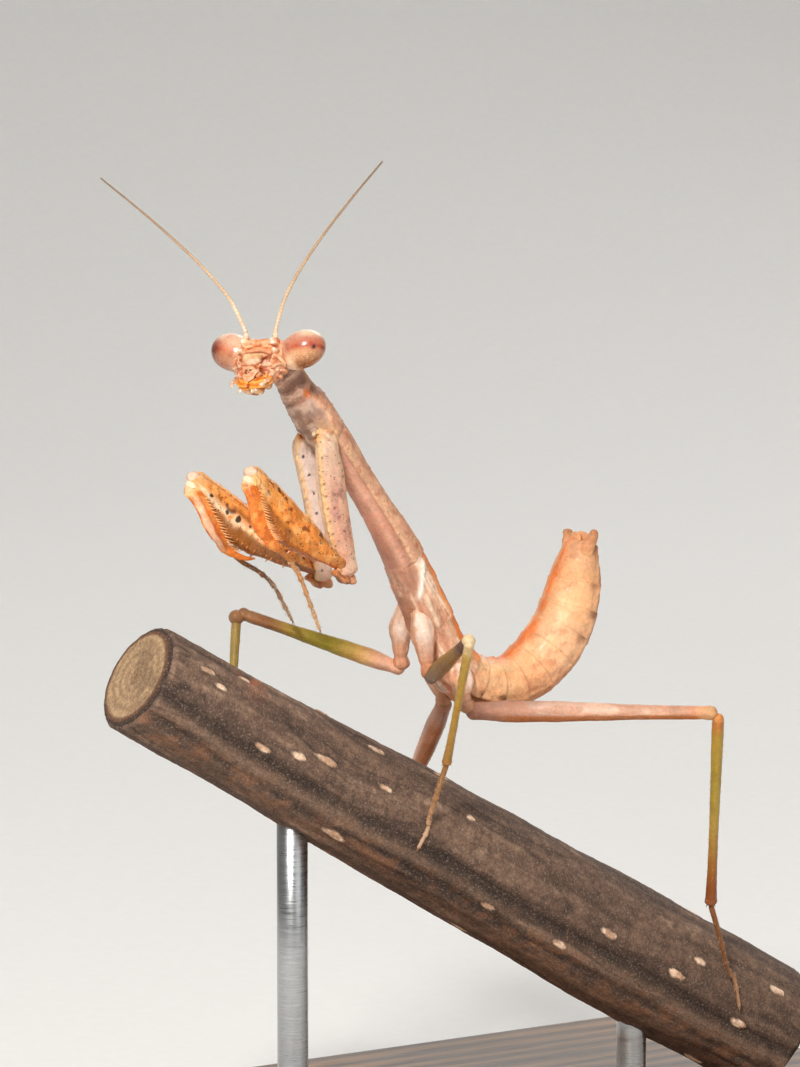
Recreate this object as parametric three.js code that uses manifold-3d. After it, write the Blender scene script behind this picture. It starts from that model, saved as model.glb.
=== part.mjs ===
// A praying mantis nymph, life size, standing on a short cut length of branch that a plain
// stand holds. Millimetres, +Z up. The mantis looks along -Y and its left side is at +X.
// The origin is the middle of the underside of the stand's base.
import * as THREE from "three";
import { mergeVertices } from "three/addons/utils/BufferGeometryUtils.js";
import Module from "manifold-3d";

const wasm = await Module();
wasm.setup();

// ---------------------------------------------------------------- driving dimensions

const GAP = 0.3; // clear space between neighbouring pieces
const THINNEST = 0.25; // half the thickness of the thinnest feeler or foot

// stand
const BASE = { length: 68, width: 50, height: 4, corner: 7, bevel: 0.6 };
const ROD = { radius: 1.0, collar: 1.9, collarHeight: 0.9, socket: 2 };
const ROD_PLACES = { front: -13, rear: 13 };

// perch: a straight length of branch that thickens towards its low end
const PERCH = { length: 56, slope: 30.7, height: 23, frontRadius: 3.45, rearRadius: 4.4, chamfer: 0.25 };

// head: its centre lies between the eyes; it is turned to the left, looks up a little and
// leans so that the left eye is the higher one
const HEAD = { centre: [0.6, -15.0, 57.35], turn: 33, nod: 28, roll: 5 };
const SKULL = {
  height: 3.5, depth: 2.4, topWidth: 4.6, chinWidth: 1.9, forward: 0.4, drop: 1.05, recede: 0.3,
};
const EYE = { long: 1.58, tall: 1.2, deep: 1.15, lateral: 2.44, forward: -0.05, up: 0.05, tilt: 20 };
const ANTENNA_ROOT = [1.0, 1.0, 0.3]; // towards its side, forward and up in the head
const ANTENNA = {
  bend: 0.7,
  left: { spread: 7.9, reach: 0.5, rise: 11.5 },
  right: { spread: 11.3, reach: -1.2, rise: 9.9 },
};
const MOUTH = { width: 1.7, depth: 1.25, height: 1.15, forward: 1.3, drop: 2.85 };

// trunk, front to rear: each section starts at a station of the centreline on the middle
// plane, [y, z], may pass through others, and has half sizes from its front to its rear
const TRUNK = [
  { name: "neck", stations: [[-13.5, 56.4]], widths: [0.8, 1.0, 1.1], depths: [0.95, 1.1, 1.15] },
  {
    name: "prothorax",
    stations: [[-12.4, 54.45], [-8.2, 48.75]],
    widths: [1.1, 1.5, 1.35, 1.12, 1.12, 1.28, 1.42],
    depths: [1.2, 1.35, 1.22, 1.02, 1.02, 1.2, 1.36],
  },
  { name: "mesothorax", stations: [[-4.75, 43.4]], widths: [1.42, 1.6, 1.7], depths: [1.38, 1.5, 1.55] },
  { name: "metathorax", stations: [[-2.85, 39.3]], widths: [1.7, 1.75, 1.7], depths: [1.55, 1.62, 1.62] },
  { name: "abdomen_1", stations: [[-0.85, 35.6]], widths: [1.7, 1.85, 2.05], depths: [1.62, 1.75, 1.85] },
  { name: "abdomen_2", stations: [[2.6, 34.5]], widths: [2.05, 2.15, 2.22], depths: [1.85, 1.85, 1.97] },
  { name: "abdomen_3", stations: [[5.6, 35.6]], widths: [2.22, 2.25, 2.15], depths: [1.97, 2.08, 2.05] },
  {
    name: "abdomen_4", stations: [[7.5, 38.35], [8.4, 41.3]],
    widths: [2.15, 2.0, 1.6], depths: [2.05, 1.8, 1.25],
  },
];
const TRUNK_TIP = [8.8, 43.7];
const CERCUS = { root: [0.95, 8.6, 43.0], steps: [[0.8, 100, 55], [0.65, 120, 70]] };

// limbs: [length, heading from straight ahead towards its own side, rise above level]
const FORE_HIP = [1.62, -11.35, 51.5];
const KNEE_DROP = [0.75, 0, -74]; // from the knee to the head of the fore tibia
const FORE = {
  left: {
    coxa: [8.8, 132, -80.6],
    femur: [10.8, 6.8, 45.8],
    tibia: [[2.0, 180, -79], [1.9, 178, -64], [1.9, 178, -43]],
    tarsus: [[1.4, 173, -51], [1.75, 180, -67], [2.3, 173, -69]],
  },
  right: {
    coxa: [9.8, 167, -79],
    femur: [11.7, 8, 40.4],
    tibia: [[1.9, 177, -69], [2.15, 178, -58], [2.1, 178, -42]],
    tarsus: [[1.65, 176, -28], [1.55, 180, -39], [1.6, 180, -59], [1.4, 180, -61]],
  },
};
const MID_HIP = [1.2, -4.1, 40.7];
const MID_COXA = [4.95, 110, -80.5];
const MID = {
  left: { femur: [11.5, 72.8, 21.2], tibia: [10.8, -106.6, -56], foot: { along: -6.2, around: 108 } },
  right: { femur: [11.3, 33.5, 18.5], tibia: [10.9, -51.7, -70], foot: { along: -21.5, around: -120 } },
};
const HIND_HIP = [1.3, -1.9, 37.1];
const HIND_COXA = [4.05, 164, -72];
const HIND = {
  left: { femur: [16.2, 152, -0.8], tibia: [14, -117.9, -74.8], foot: { along: 21.4, around: 97 } },
  right: { femur: [16.2, 104, -41], tibia: [12.6, -129, -20], foot: { along: 17.2, around: -92 } },
};
const THORNS = { length: 0.42, radius: 0.17, pairs: 4, sides: 4 };
const HOOK = { length: 1.1, radius: 0.26 };

// ---------------------------------------------------------------- small tools

const SIDES = { left: 1, right: -1 };
const UP = new THREE.Vector3(0, 0, 1);
const LEFTWARD = new THREE.Vector3(1, 0, 0);
const CAP_ANGLES = [0, 0.22 * Math.PI, 0.5 * Math.PI];

const vector = ([x, y, z]) => new THREE.Vector3(x, y, z);

const onMiddlePlane = ([y, z]) => new THREE.Vector3(0, y, z);

/** Direction for a heading from straight ahead towards one side, and a rise above level. */
function aim(heading, rise, side) {
  const turn = THREE.MathUtils.degToRad(heading);
  const lift = THREE.MathUtils.degToRad(rise);
  const level = Math.cos(lift);
  return new THREE.Vector3(side * Math.sin(turn) * level, -Math.cos(turn) * level, Math.sin(lift));
}

/** The end of a length that starts at a point: [length, heading, rise]. */
function step(from, [length, heading, rise], side) {
  return from.clone().addScaledVector(aim(heading, rise, side), length);
}

/** The points that a chain of steps passes through. */
function chain(from, steps, side) {
  const points = [from];
  for (const one of steps) points.push(step(points.at(-1), one, side));
  return points;
}

/** A smooth function over 0..1 through evenly spaced values. */
function graded(values) {
  return (t) => {
    const place = Math.min(Math.max(t, 0), 1) * (values.length - 1);
    const k = Math.min(Math.floor(place), values.length - 2);
    return THREE.MathUtils.lerp(values[k], values[k + 1], THREE.MathUtils.smoothstep(place - k, 0, 1));
  };
}

/** Leaves only positions, joins shared vertices and drops the triangles that collapse at a pole. */
function closed(geometry) {
  const bare = geometry.clone();
  bare.deleteAttribute("normal");
  bare.deleteAttribute("uv");
  const merged = mergeVertices(bare, 1e-4);
  const kept = [];
  const index = merged.index.array;
  for (let i = 0; i < index.length; i += 3) {
    const [a, b, c] = [index[i], index[i + 1], index[i + 2]];
    if (a !== b && b !== c && c !== a) kept.push(a, b, c);
  }
  merged.setIndex(kept);
  return merged;
}

function toSolid(geometry) {
  const mesh = closed(geometry);
  return new wasm.Manifold(new wasm.Mesh({
    numProp: 3,
    vertProperties: new Float32Array(mesh.attributes.position.array),
    triVerts: new Uint32Array(mesh.index.array),
  }));
}

function toGeometry(solid) {
  const mesh = solid.getMesh();
  const geometry = new THREE.BufferGeometry();
  geometry.setAttribute("position", new THREE.BufferAttribute(new Float32Array(mesh.vertProperties), 3));
  geometry.setIndex(new THREE.BufferAttribute(new Uint32Array(mesh.triVerts), 1));
  return geometry;
}

/** The first geometry without the others, as one body. */
function cut(geometry, ...tools) {
  let solid = toSolid(geometry);
  for (const tool of tools) solid = solid.subtract(toSolid(tool));
  const bodies = solid.decompose();
  bodies.sort((a, b) => b.volume() - a.volume());
  return toGeometry(bodies[0]);
}

function join(geometries) {
  let solid = toSolid(geometries[0]);
  for (const other of geometries.slice(1)) solid = solid.add(toSolid(other));
  return toGeometry(solid);
}

/**
 * A round-ended tube: a lathe profile bent along a centreline, which is a curve or a list of points.
 * halfWidth and halfDepth are functions of 0..1 over the range of the curve that it takes. Depth
 * lies along the dorsal direction, or square to a fixed wide direction.
 */
function tube(line, halfWidth, halfDepth, options = {}) {
  const { sides = 8, rings = 5, range = [0, 1], trim = [0, 0], cap = [1, 1] } = options;
  const curve = Array.isArray(line) ? new THREE.CatmullRomCurve3(line, false, "centripetal") : line;
  const length = curve.getLength();
  const start = range[0] + trim[0] / length;
  const end = range[1] - trim[1] / length;
  const longestCap = (end - start) / 2.2;
  const capStart = Math.min((cap[0] * Math.min(halfWidth(0), halfDepth(0))) / length, longestCap);
  const capEnd = Math.min((cap[1] * Math.min(halfWidth(1), halfDepth(1))) / length, longestCap);
  const profile = [];
  for (const angle of CAP_ANGLES) {
    profile.push([Math.sin(angle), start + capStart * (1 - Math.cos(angle))]);
  }
  for (let k = 1; k < rings; k += 1) {
    profile.push([1, THREE.MathUtils.lerp(start + capStart, end - capEnd, k / rings)]);
  }
  for (const angle of CAP_ANGLES.toReversed()) {
    profile.push([Math.sin(angle), end - capEnd * (1 - Math.cos(angle))]);
  }
  const lathe = new THREE.LatheGeometry(profile.map(([r, t]) => new THREE.Vector2(r, t)), sides);
  const places = lathe.attributes.position;
  for (let i = 0; i < places.count; i += 1) {
    const t = places.getY(i);
    const part = (t - range[0]) / (range[1] - range[0]);
    const place = curve.getPointAt(t);
    const { wide, deep } = sectionAxes(curve.getTangentAt(t), options);
    place.addScaledVector(wide, places.getX(i) * halfWidth(part));
    place.addScaledVector(deep, places.getZ(i) * halfDepth(part));
    places.setXYZ(i, place.x, place.y, place.z);
  }
  return lathe;
}

/** The two axes of a section square to a centreline. */
function sectionAxes(along, { wide, dorsal = UP }) {
  if (wide) return { wide, deep: wide.clone().cross(along).normalize() };
  const deep = dorsal.clone().addScaledVector(along, -dorsal.dot(along)).normalize();
  return { wide: along.clone().cross(deep), deep };
}

const constant = (value) => () => value;

/** A ball stretched to half sizes along X, Y and Z. */
function ball(halfSizes, sides = 20, rings = 14) {
  const geometry = new THREE.SphereGeometry(1, sides, rings);
  geometry.rotateX(Math.PI / 2);
  geometry.scale(...halfSizes);
  return geometry;
}

/** A thorn that stands at a point. */
function thorn(point, direction, length, radius) {
  const geometry = new THREE.ConeGeometry(radius, length, THORNS.sides);
  geometry.translate(0, length / 2, 0);
  const axis = new THREE.Vector3(0, 1, 0);
  geometry.applyQuaternion(new THREE.Quaternion().setFromUnitVectors(axis, direction.clone().normalize()));
  geometry.translate(point.x, point.y, point.z);
  return geometry;
}

// ---------------------------------------------------------------- materials

const COLOURS = {
  head: 0xd9a184, eye: 0xcf9a8c, feeler: 0xcbb7a0, thorax: 0xc08f7c, abdomen: 0xd08a62,
  foreLeg: 0xd27a34, coxa: 0xdcbda8, leg: 0xa59a4e, bark: 0x4b403b, wood: 0x8a6a4a, steel: 0xb8b8b8,
};
const model = new THREE.Group();

function addNode(name, geometry, colour, roughness = 0.6, metalness = 0) {
  const material = new THREE.MeshStandardMaterial({ color: colour, roughness, metalness });
  const mesh = new THREE.Mesh(geometry, material);
  mesh.name = name;
  model.add(mesh);
}

// ---------------------------------------------------------------- perch and stand

const slope = THREE.MathUtils.degToRad(PERCH.slope);
const perchAxis = new THREE.Vector3(0, Math.cos(slope), -Math.sin(slope));
const perchUp = new THREE.Vector3(0, Math.sin(slope), Math.cos(slope));
const perchCentre = new THREE.Vector3(0, 0, PERCH.height);
const perchRadius = (along) => (
  THREE.MathUtils.lerp(PERCH.frontRadius, PERCH.rearRadius, along / PERCH.length + 0.5)
);

/** A point over the perch: along it from its middle, around it from its top, and clear of its bark. */
function overPerch({ along, around }, clear) {
  const angle = THREE.MathUtils.degToRad(around);
  const out = perchUp.clone().multiplyScalar(Math.cos(angle));
  out.x += Math.sin(angle);
  const middle = perchCentre.clone().addScaledVector(perchAxis, along);
  return middle.addScaledVector(out, perchRadius(along) + clear);
}

/** A post of one radius between two heights. */
function post(y, bottom, top, radius, sides = 14) {
  const geometry = new THREE.CylinderGeometry(radius, radius, top - bottom, sides);
  geometry.rotateX(Math.PI / 2);
  geometry.translate(0, y, (top + bottom) / 2);
  return geometry;
}

/** Height of the perch's centreline over a place on the floor. */
const perchHeightAt = (y) => PERCH.height - y * Math.tan(slope);

function makePerch() {
  const half = PERCH.length / 2;
  const profile = [new THREE.Vector2(0, -half)];
  profile.push(new THREE.Vector2(PERCH.frontRadius - PERCH.chamfer, -half));
  for (const part of [0, 0.5, 1]) {
    const along = THREE.MathUtils.lerp(-half + PERCH.chamfer, half - PERCH.chamfer, part);
    profile.push(new THREE.Vector2(perchRadius(along), along));
  }
  profile.push(new THREE.Vector2(PERCH.rearRadius - PERCH.chamfer, half), new THREE.Vector2(0, half));
  const geometry = new THREE.LatheGeometry(profile, 28);
  geometry.rotateX(-slope);
  geometry.translate(0, 0, PERCH.height);
  const holes = Object.values(ROD_PLACES).map((y) => post(y, 0, perchHeightAt(y) + GAP, ROD.radius + GAP));
  return cut(geometry, ...holes);
}

function makeBase() {
  const { length, width, height, corner, bevel } = BASE;
  const x = width / 2 - bevel;
  const y = length / 2 - bevel;
  const outline = new THREE.Shape();
  outline.moveTo(-x + corner, -y);
  outline.lineTo(x - corner, -y);
  outline.absarc(x - corner, -y + corner, corner, -Math.PI / 2, 0);
  outline.lineTo(x, y - corner);
  outline.absarc(x - corner, y - corner, corner, 0, Math.PI / 2);
  outline.lineTo(-x + corner, y);
  outline.absarc(-x + corner, y - corner, corner, Math.PI / 2, Math.PI);
  outline.lineTo(-x, -y + corner);
  outline.absarc(-x + corner, -y + corner, corner, Math.PI, 1.5 * Math.PI);
  const geometry = new THREE.ExtrudeGeometry(outline, {
    depth: height - 2 * bevel, bevelThickness: bevel, bevelSize: bevel, bevelSegments: 1, curveSegments: 4,
  });
  geometry.translate(0, 0, bevel);
  const sockets = Object.values(ROD_PLACES).map((place) => (
    post(place, height - ROD.socket, height + 1, ROD.radius + GAP)
  ));
  return cut(geometry, ...sockets);
}

function makeRod(y) {
  const bottom = BASE.height - ROD.socket + GAP;
  const collarBottom = BASE.height + GAP;
  const collar = post(y, collarBottom, collarBottom + ROD.collarHeight, ROD.collar);
  return join([post(y, bottom, perchHeightAt(y), ROD.radius), collar]);
}

addNode("perch", makePerch(), COLOURS.bark, 0.95);
addNode("stand_base", makeBase(), COLOURS.wood, 0.5);
for (const [name, y] of Object.entries(ROD_PLACES)) {
  addNode(`stand_rod_${name}`, makeRod(y), COLOURS.steel, 0.3, 1);
}

// ---------------------------------------------------------------- head

const headFrame = new THREE.Matrix4().makeRotationZ(THREE.MathUtils.degToRad(HEAD.turn));
headFrame.multiply(new THREE.Matrix4().makeRotationY(THREE.MathUtils.degToRad(-HEAD.roll)));
headFrame.multiply(new THREE.Matrix4().makeRotationX(THREE.MathUtils.degToRad(-HEAD.nod)));
headFrame.setPosition(...HEAD.centre);

/** A place in the head: towards one side, forward and up. */
const inHead = (lateral, forward, up) => new THREE.Vector3(lateral, -forward, up).applyMatrix4(headFrame);

/** The head capsule: a ball drawn out to a wide crown and a narrow chin that lies forward. */
function makeSkull() {
  const geometry = ball([1, 1, 1], 18, 12);
  const places = geometry.attributes.position;
  const widthAt = graded([SKULL.chinWidth, SKULL.chinWidth * 1.2, SKULL.topWidth * 0.82, SKULL.topWidth]);
  const boxy = (value) => Math.sign(value) * Math.abs(value) ** 0.8;
  for (let i = 0; i < places.count; i += 1) {
    const [x, y, z] = [places.getX(i), places.getY(i), places.getZ(i)];
    const receding = SKULL.recede * Math.max(-z, 0);
    places.setXYZ(
      i,
      (boxy(x) * widthAt((z + 1) / 2)) / 2,
      ((boxy(y) * (1 - receding) - receding) * SKULL.depth) / 2 - SKULL.forward,
      (boxy(z) * SKULL.height) / 2 - SKULL.drop,
    );
  }
  return geometry.applyMatrix4(headFrame);
}

function makeEye(side, clear = 0) {
  const { long, tall, deep, lateral, forward, up, tilt } = EYE;
  const geometry = ball([long + clear, deep + clear, tall + clear], 16, 10);
  geometry.rotateY(THREE.MathUtils.degToRad(-side * tilt));
  geometry.translate(side * lateral, -forward, up);
  return geometry.applyMatrix4(headFrame);
}

/** An antenna rises from its root, then leans outward and runs nearly straight. */
function antennaPoints(name, side) {
  const { spread, reach, rise } = ANTENNA[name];
  const [lateral, forward, up] = ANTENNA_ROOT;
  const root = inHead(side * lateral, forward, up);
  const turn = THREE.MathUtils.degToRad(HEAD.turn);
  const outward = new THREE.Vector3(Math.cos(turn), Math.sin(turn), 0).multiplyScalar(side);
  const ahead = new THREE.Vector3(Math.sin(turn), -Math.cos(turn), 0);
  const points = [];
  for (let k = 0; k <= 8; k += 1) {
    const t = k / 8;
    const leaning = ((1 + ANTENNA.bend) * t * t) / (t + ANTENNA.bend);
    const point = root.clone().addScaledVector(outward, spread * leaning);
    point.addScaledVector(ahead, reach * t).addScaledVector(UP, rise * t);
    points.push(point);
  }
  return points;
}

/** The jaws and lips with the four palps that hang beside them. */
function makeMouth() {
  const { width, depth, height, forward, drop } = MOUTH;
  const block = ball([width / 2, depth / 2, height / 2], 12, 8);
  block.translate(0, -forward, -drop);
  block.applyMatrix4(headFrame);
  const palps = [];
  for (const side of [1, -1]) {
    const outer = [[0.6, 1.1, -2.45], [1.0, 1.2, -2.5], [1.15, 1.55, -2.75], [1.0, 1.85, -3.0]];
    const inner = [[0.3, 1.2, -2.9], [0.5, 1.45, -3.2], [0.4, 1.8, -3.3]];
    for (const path of [outer, inner]) {
      const points = path.map(([lateral, ahead, up]) => inHead(side * lateral, ahead, up));
      palps.push(tube(points, constant(THINNEST), constant(THINNEST), { sides: 5, rings: 3 }));
    }
  }
  return join([block, ...palps]);
}

/** The room that the head capsule takes with a clear space all round. */
function skullRoom() {
  const room = makeSkull();
  const middle = inHead(0, SKULL.forward, -SKULL.drop);
  room.translate(-middle.x, -middle.y, -middle.z);
  const scale = 1 + (2 * GAP) / SKULL.depth;
  room.scale(scale, scale, 1 + (2 * GAP) / SKULL.height);
  return room.translate(middle.x, middle.y, middle.z);
}

addNode("head", cut(makeSkull(), makeEye(1, GAP), makeEye(-1, GAP)), COLOURS.head);
addNode("mouthparts", cut(makeMouth(), skullRoom()), COLOURS.foreLeg);
for (const [name, side] of Object.entries(SIDES)) {
  addNode(`eye_${name}`, makeEye(side), COLOURS.eye, 0.15);
  const feeler = graded([0.3, THINNEST, THINNEST]);
  const antenna = tube(antennaPoints(name, side), feeler, feeler, { sides: 6, rings: 10 });
  addNode(`antenna_${name}`, cut(antenna, skullRoom()), COLOURS.feeler);
}

// ---------------------------------------------------------------- trunk

const trunkStations = [...TRUNK.flatMap((section) => section.stations), TRUNK_TIP];
const trunkCurve = new THREE.CatmullRomCurve3(trunkStations.map(onMiddlePlane), false, "centripetal");

/** How far along the trunk each section starts, as a fraction, and the tip at 1. */
function sectionStarts() {
  const perStation = 100;
  const lengths = trunkCurve.getLengths(perStation * (trunkStations.length - 1));
  const starts = [];
  let station = 0;
  for (const section of TRUNK) {
    starts.push(lengths[perStation * station] / lengths.at(-1));
    station += section.stations.length;
  }
  return [...starts, 1];
}

const trunkStarts = sectionStarts();

/** One section of the trunk, or the room that it takes with a clear space all round. */
function trunkSection(name, clear = 0) {
  const k = TRUNK.findIndex((section) => section.name === name);
  const { widths, depths } = TRUNK[k];
  const range = [trunkStarts[k], trunkStarts[k + 1]];
  const first = k === 0;
  const last = k === TRUNK.length - 1;
  const ends = clear > 0 ? [0, 0] : [GAP / 2, last ? 0 : GAP / 2];
  return tube(trunkCurve, graded(widths.map((w) => w + clear)), graded(depths.map((d) => d + clear)), {
    sides: first ? 12 : 14,
    rings: Math.max(3, Math.round((range[1] - range[0]) * 30)),
    range,
    wide: LEFTWARD,
    trim: ends,
    cap: [0.15, last ? 0.6 : 0.15],
  });
}

for (const { name } of TRUNK) {
  const colour = name.startsWith("abdomen") ? COLOURS.abdomen : COLOURS.thorax;
  const section = trunkSection(name);
  addNode(name, name === "neck" ? cut(section, skullRoom()) : section, colour);
}

for (const [name, side] of Object.entries(SIDES)) {
  const root = new THREE.Vector3(side * CERCUS.root[0], CERCUS.root[1], CERCUS.root[2]);
  const points = chain(root, CERCUS.steps, side);
  const girth = graded([0.4, 0.34, THINNEST]);
  const cercus = tube(points, girth, girth, { sides: 7, rings: 4 });
  addNode(`cercus_${name}`, cut(cercus, trunkSection("abdomen_4", GAP)), COLOURS.abdomen);
}

// ---------------------------------------------------------------- fore legs

/** Two rows of thorns along the lower edge of a raptorial segment. */
function thornRows(points, dorsal, drop, [from, to]) {
  const curve = new THREE.CatmullRomCurve3(points, false, "centripetal");
  const thorns = [];
  for (let k = 0; k < THORNS.pairs; k += 1) {
    const t = THREE.MathUtils.lerp(from, to, k / (THORNS.pairs - 1));
    const { wide, deep } = sectionAxes(curve.getTangentAt(t), { dorsal });
    for (const side of [1, -1]) {
      const root = curve.getPointAt(t).addScaledVector(deep, -drop(t)).addScaledVector(wide, side * 0.22);
      const out = wide.clone().multiplyScalar(side * 0.9).addScaledVector(deep, -1);
      thorns.push(thorn(root, out, THORNS.length, THORNS.radius));
    }
  }
  return thorns;
}

function makeForeLeg(name, side) {
  const plan = FORE[name];
  const hip = vector(FORE_HIP);
  hip.x *= side;
  const coxaEnd = step(hip, plan.coxa, side);
  const knee = step(coxaEnd, plan.femur, side);
  const femurLine = aim(plan.femur[1], plan.femur[2], side);

  const coxaLine = [hip, coxaEnd];
  const backward = new THREE.Vector3(0, 1, 0);
  const coxa = tube(coxaLine, graded([0.6, 0.68, 0.62, 0.52]), graded([0.72, 0.8, 0.74, 0.56]), {
    sides: 8, rings: 4, dorsal: backward, trim: [0, GAP],
  });
  addNode(`fore_coxa_${name}`, cut(coxa, trunkSection("prothorax", GAP)), COLOURS.coxa);

  const coxaRoom = tube(coxaLine, graded([1, 1, 0.94, 0.82]), graded([1.05, 1.1, 1.05, 0.87]), {
    sides: 8, rings: 4, dorsal: backward,
  });
  const trochanterLine = [-0.35, 1.35].map((along) => coxaEnd.clone().addScaledVector(femurLine, along));
  const trochanter = tube(trochanterLine, constant(0.5), constant(0.58), {
    sides: 8, rings: 2, trim: [0, GAP],
  });
  addNode(`fore_trochanter_${name}`, cut(trochanter, coxaRoom), COLOURS.foreLeg);

  const sag = graded([0, 0.3, 0.36, 0]);
  const femurStart = trochanterLine[1];
  const femurPoints = [0, 0.35, 0.7, 1].map((t) => {
    const point = femurStart.clone().lerp(knee, t);
    return point.addScaledVector(sectionAxes(femurLine, {}).deep, -sag(t));
  });
  const femurWidth = graded([0.42, 0.52, 0.55, 0.52, 0.45]);
  const femurDepth = graded([0.55, 0.84, 1.0, 0.98, 0.82, 0.55]);
  const femur = tube(femurPoints, femurWidth, femurDepth, { sides: 10, rings: 6 });
  const femurThorns = thornRows(femurPoints, UP, (t) => femurDepth(t) - 0.14, [0.2, 0.72]);
  const tibiaPoints = chain(step(knee, KNEE_DROP, side), plan.tibia, side);
  const inward = new THREE.Vector3(0, 1, 0.2);
  const tibiaRoom = tube(tibiaPoints, constant(0.36 + GAP), constant(0.42 + GAP), {
    sides: 8, rings: 5, dorsal: inward,
  });
  addNode(`fore_femur_${name}`, cut(join([femur, ...femurThorns]), tibiaRoom), COLOURS.foreLeg);

  const tibia = tube(tibiaPoints, graded([0.36, 0.36, 0.33, 0.3]), graded([0.38, 0.42, 0.38, 0.32]), {
    sides: 8, rings: 5, dorsal: inward,
  });
  const tibiaThorns = thornRows(tibiaPoints, inward.clone().negate(), constant(0.22), [0.3, 0.85]);
  const ankle = tibiaPoints.at(-1);
  const tibiaEnd = aim(...plan.tibia.at(-1).slice(1), side);
  const hookLine = tibiaEnd.clone().addScaledVector(UP, 0.35);
  const hook = thorn(ankle.clone().addScaledVector(tibiaEnd, -0.4), hookLine, HOOK.length, HOOK.radius);
  addNode(`fore_tibia_${name}`, join([tibia, ...tibiaThorns, hook]), COLOURS.foreLeg);

  const tarsusRoot = ankle.clone().addScaledVector(UP, -0.1);
  const girth = graded([0.28, THINNEST, THINNEST]);
  const tarsusLine = chain(tarsusRoot, plan.tarsus, side);
  const tarsus = tube(tarsusLine, girth, girth, { sides: 6, rings: 7, trim: [0.15, 0] });
  const hookRoom = thorn(ankle, hookLine, HOOK.length + GAP, HOOK.radius + 1.5 * GAP);
  addNode(`fore_tarsus_${name}`, cut(tarsus, tibiaRoom, hookRoom), COLOURS.feeler);
}

for (const [name, side] of Object.entries(SIDES)) makeForeLeg(name, side);

// ---------------------------------------------------------------- mid and hind legs

const bodyRooms = ["mesothorax", "metathorax", "abdomen_1"].map((name) => trunkSection(name, GAP));
const DORSAL = new THREE.Vector3(0, 0.8, 0.6);

/** A walking leg: coxa, femur, tibia and a foot that ends on the perch. */
function makeWalkingLeg(pair, name, side, hipPlace, coxaStep, plan, girth) {
  const hip = vector(hipPlace);
  hip.x *= side;
  const coxaEnd = step(hip, coxaStep, side);
  const knee = step(coxaEnd, plan.femur, side);
  const ankle = step(knee, plan.tibia, side);
  const toe = overPerch(plan.foot, GAP + THINNEST);
  const coxaRadius = graded([girth.coxa, girth.coxa, girth.coxa * 0.8]);
  const coxa = tube([hip, coxaEnd], coxaRadius, coxaRadius, {
    sides: 8, rings: 3, dorsal: DORSAL, trim: [0, 0.1],
  });
  addNode(`${pair}_coxa_${name}`, cut(coxa, ...bodyRooms), COLOURS.coxa);

  const femurRadius = graded([girth.femur * 0.85, girth.femur, girth.femur, girth.femur * 0.85, girth.knee]);
  const femur = tube([coxaEnd, knee], femurRadius, femurRadius, { sides: 8, rings: 4 });
  const coxaSpace = tube([hip, coxaEnd], (t) => coxaRadius(t) + GAP, (t) => coxaRadius(t) + GAP, {
    sides: 8, rings: 3, dorsal: DORSAL,
  });
  addNode(`${pair}_femur_${name}`, cut(femur, coxaSpace, ...bodyRooms), COLOURS.leg);

  const tibiaRadius = graded([girth.tibia * 1.15, girth.tibia, girth.tibia * 0.92, girth.tibia]);
  const tibia = tube([knee, ankle], tibiaRadius, tibiaRadius, {
    sides: 8, rings: 3, trim: [girth.knee + GAP, 0],
  });
  addNode(`${pair}_tibia_${name}`, tibia, COLOURS.leg);

  const last = overPerch({ along: plan.foot.along, around: plan.foot.around * 0.82 }, GAP + 0.55);
  const tarsusLine = [ankle, ankle.clone().lerp(last, 0.5), last, toe];
  const tarsus = tube(tarsusLine, constant(THINNEST), constant(THINNEST), {
    sides: 6, rings: 7, trim: [girth.tibia + GAP, 0],
  });
  addNode(`${pair}_tarsus_${name}`, tarsus, COLOURS.feeler);
}

const MID_GIRTH = { coxa: 0.66, femur: 0.52, knee: 0.48, tibia: 0.28 };
const HIND_GIRTH = { coxa: 0.8, femur: 0.62, knee: 0.5, tibia: 0.36 };
for (const [name, side] of Object.entries(SIDES)) {
  makeWalkingLeg("mid", name, side, MID_HIP, MID_COXA, MID[name], MID_GIRTH);
  makeWalkingLeg("hind", name, side, HIND_HIP, HIND_COXA, HIND[name], HIND_GIRTH);
}

export default model;
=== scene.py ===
"""A praying mantis nymph on a perch: skin, eyes, feelers, spines, bark and a plain stand."""
import math
import bmesh
import bpy
import numpy as np
from mathutils import Matrix, Vector


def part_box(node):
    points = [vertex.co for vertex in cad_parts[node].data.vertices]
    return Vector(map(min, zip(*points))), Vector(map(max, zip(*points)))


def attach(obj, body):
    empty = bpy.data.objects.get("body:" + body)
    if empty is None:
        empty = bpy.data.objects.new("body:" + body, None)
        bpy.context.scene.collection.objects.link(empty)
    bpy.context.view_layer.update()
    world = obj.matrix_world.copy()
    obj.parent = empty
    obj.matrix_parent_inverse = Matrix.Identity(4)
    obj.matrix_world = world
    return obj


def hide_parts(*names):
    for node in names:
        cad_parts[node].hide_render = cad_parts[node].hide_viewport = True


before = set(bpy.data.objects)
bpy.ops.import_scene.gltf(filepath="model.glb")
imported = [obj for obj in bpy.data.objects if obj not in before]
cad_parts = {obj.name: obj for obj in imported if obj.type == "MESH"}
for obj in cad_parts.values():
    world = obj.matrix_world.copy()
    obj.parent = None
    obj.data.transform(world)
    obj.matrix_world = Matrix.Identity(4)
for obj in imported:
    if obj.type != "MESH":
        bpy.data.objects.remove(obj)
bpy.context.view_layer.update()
MM = 0.001  # shapes are worked out in millimetres
SIDES = {"left": 1, "right": -1}
LEFTWARD, BACKWARD, UP = np.eye(3)

# ---------------------------------------------------------------- camera

AZIMUTH, ELEVATION, DISTANCE = 60.0, 8.0, 0.310  # in degrees and metres
LENS, SENSOR = 162.1, 36.0  # in mm
LOOK_AT = Vector((0.0, -0.005, 0.045))


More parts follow.
